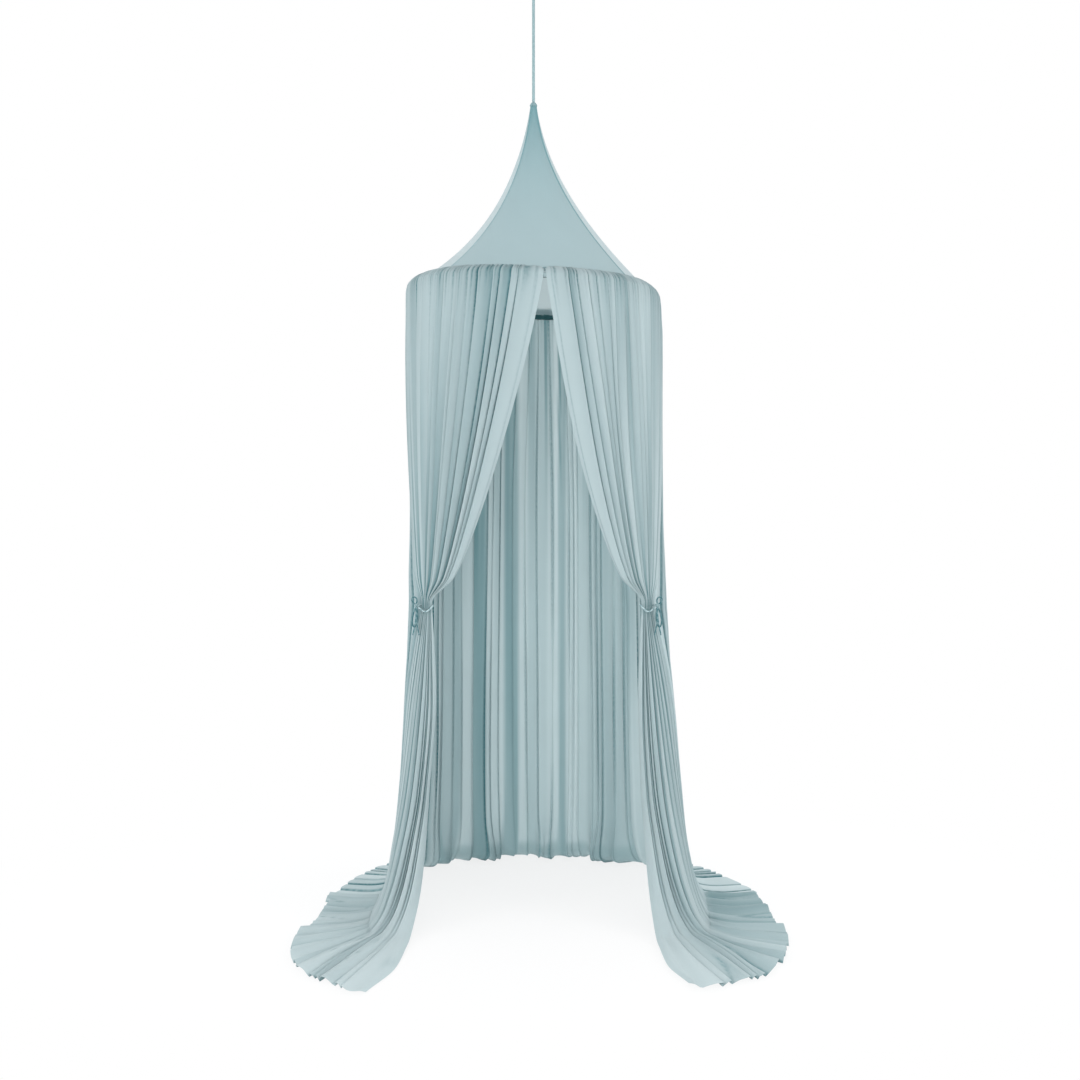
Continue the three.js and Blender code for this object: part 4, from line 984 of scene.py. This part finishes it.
# Ties
# A cord of the same jersey goes round the neck of each bundle and is knotted at its outer front side. A small
# loop stands over the knot, a longer one hangs below it, and two ends hang free.
tie_height = 0.680
tie_cord_radius = 0.0021
tie_cord_gap = 0.0008
bow_cord_radius = 0.0018
tail_thickness = 0.0032
tail_spread = 0.0075
band_turns = full_turn(60)
knot_turns = full_turn(90)
bow_turns = full_turn(56)
for hand, side in sides.items():
    word = side["word"]
    low, high = corners_of(f"{word}_tie_knot")
    middle = (low + high) / 2
    band_route = at_tie(hand, (neck_width / 2 + tie_cord_gap + tie_cord_radius) * np.cos(band_turns),
                        (neck_depth + tie_cord_gap + tie_cord_radius) * np.sin(band_turns),
                        tie_height - 0.014 * np.maximum(0, np.sin(band_turns)) ** 2)
    nearest = int(np.argmin(np.linalg.norm(band_route - middle, axis=1)))
    apart = (np.arange(60) - nearest + 30) % 60 - 30
    band_route = band_route + np.exp(-(apart / 4.0) ** 2)[:, None] * (middle - band_route[nearest])
    band = round_cord(f"tie_{word}_band", band_route, tie_cord_radius, knitted_cord, closed=True, twist=0.012)
    fitted(band, "canopy", "cord", f"{word}_tie_band")
    out = 0.0026 + 0.0014 * np.cos(3 * knot_turns)
    knot_route = middle + np.stack([out * np.cos(2 * knot_turns) * 0.9, out * np.sin(2 * knot_turns),
                                    0.0030 * np.sin(3 * knot_turns)], -1)
    knot = round_cord(f"tie_{word}_knot", knot_route, bow_cord_radius, knitted_cord, sides=10, closed=True,
                      tone=0.45)
    fitted(knot, "canopy", "cord", f"{word}_tie_knot")
    for loop_word, way, length, breadth in (("upper", (hand * 0.35, 0.1, 0.94), 0.017, 0.0065),
                                            ("lower", (hand * 0.10, 0.0, -0.995), 0.046, 0.0068)):
        way = unit(np.array(way))
        beside = np.array([-way[2], 0, way[0]])
        far = length / 2 * (1 - np.cos(bow_turns))
        wide = breadth * np.sin(bow_turns) * np.sqrt(np.sin(bow_turns / 2))
        bow_route = (middle + way * 0.0035 + np.outer(far, way) + np.outer(wide, beside)
                     + np.outer(np.sin(bow_turns / 2) ** 2, (0, -0.003, 0)))
        # The loops are painted dark, as painted shade in the gaps round them.
        bow = round_cord(f"tie_{word}_bow_{loop_word}", bow_route, bow_cord_radius, knitted_cord, sides=10,
                         closed=True, tone=0.85, twist=0.014)
        fitted(bow, "canopy", "cord", f"{word}_bow_{loop_word}")
    low, high = corners_of(f"{word}_tie_ends")
    top = np.array([middle[0], (low[1] + high[1]) / 2 + 0.001, high[2] - 0.0006])
    for number, outward in ((1, -1), (2, 1)):
        bottom = np.array([(low[0] + high[0]) / 2 + outward * tail_spread, low[1] + 0.002, low[2] + 0.003])
        t = np.linspace(0, 1, 24)[:, None]
        bowed = np.hstack([-outward * 0.0025 * np.sin(math.pi * t), 0.0012 * np.sin(2 * math.pi * t), 0 * t])
        route = top * (1 - t) + bottom * t + bowed
        tail = round_cord(f"tie_{word}_end_{number}", route, tail_thickness / 2, knitted_cord, sides=10,
                          tone=0.7, twist=0.012)
        fitted(tail, f"{word}_tie_ends", "cord", f"{word}_tie_ends")

# Floor and light
# A plain white studio: a pale floor that keeps a soft shadow under the cloth, a white surround, and large
# soft lamps at the front, at both sides and behind.
floor_reach = 20
floor_tint = (0.86, 0.86, 0.86, 1)
surround_tint = (0.96, 0.98, 1.0, 1)
floor_mesh = bpy.data.meshes.new("studio_floor")
floor_mesh.from_pydata([(-floor_reach, -floor_reach, 0), (floor_reach, -floor_reach, 0),
                        (floor_reach, floor_reach, 0), (-floor_reach, floor_reach, 0)], [], [(0, 1, 2, 3)])
studio_floor = bpy.data.objects.new("studio_floor", floor_mesh)
studio_floor.location = (0, 0, -ceiling_height)
room.objects.link(studio_floor)


def seen_directly(tree):
    """1 for rays from the viewer, a mirror or glass, and 0 for light on its way to a matt surface."""
    rays = finish_step(tree, "ShaderNodeLightPath").outputs
    both = worked(tree, "ADD", rays["Is Camera Ray"], rays["Is Glossy Ray"])
    return worked(tree, "MINIMUM", worked(tree, "ADD", both, rays["Is Transmission Ray"]), 1.0)


def finished_by(tree, kind, share, first, second):
    """Ends a tree with two shaders, the second of which shows by its share."""
    mixed = finish_step(tree, "ShaderNodeMixShader", {0: share, 1: first.outputs[0], 2: second.outputs[0]})
    finish_step(tree, kind, {"Surface": mixed.outputs[0]})


def soft_lamp(name, place, target, size, power):
    """A large soft lamp that is aimed from its place at a target."""
    lamp = bpy.data.lights.new(name, "AREA")
    lamp.size = size
    lamp.energy = power
    stand = bpy.data.objects.new(name, lamp)
    stand.location = place
    out, back, up = np.array(target) - np.array(place)
    stand.rotation_euler = (math.atan2(math.hypot(out, back), -up), 0, math.atan2(-out, back))
    stand.visible_camera = False
    room.objects.link(stand)


floor_paint = bpy.data.materials.new("floor_paint")
floor_paint.use_nodes = True
tree = floor_paint.node_tree
tree.nodes.clear()
place = finish_step(tree, "ShaderNodeTexCoord").outputs["Object"]
away = finish_step(tree, "ShaderNodeVectorMath", {0: place}, operation="LENGTH").outputs["Value"]
fading = finish_step(tree, "ShaderNodeMapRange", interpolation_type="SMOOTHSTEP")
feed(tree, fading, {"Value": away, "From Min": 0.3, "From Max": 1.4, "To Min": 0.80, "To Max": 1.0})
finished_by(tree, "ShaderNodeOutputMaterial",
            worked(tree, "MULTIPLY", seen_directly(tree), fading.outputs["Result"]),
            finish_step(tree, "ShaderNodeBsdfDiffuse", {"Color": floor_tint}),
            finish_step(tree, "ShaderNodeEmission"))
floor_mesh.materials.append(floor_paint)

surround = bpy.data.worlds.new("surround")
bpy.context.scene.world = surround
surround.use_nodes = True
tree = surround.node_tree
tree.nodes.clear()
finished_by(tree, "ShaderNodeOutputWorld", seen_directly(tree),
            finish_step(tree, "ShaderNodeBackground", {"Color": surround_tint, "Strength": 0.90}),
            finish_step(tree, "ShaderNodeBackground", {"Color": (1, 1, 1, 1), "Strength": 1}))
soft_lamp("front_lamp", (-0.8, -3.9, -1.1), (0, 0.2, -1.4), 2.0, 47)
soft_lamp("left_lamp", (-3.0, -1.6, -0.4), (0, 0, -1.2), 1.6, 29)
soft_lamp("right_lamp", (3.0, -1.5, -0.8), (0, 0, -1.2), 1.6, 38)
soft_lamp("rear_lamp", (0.6, 3.6, -0.5), (0, 0.3, -1.4), 2.0, 75)
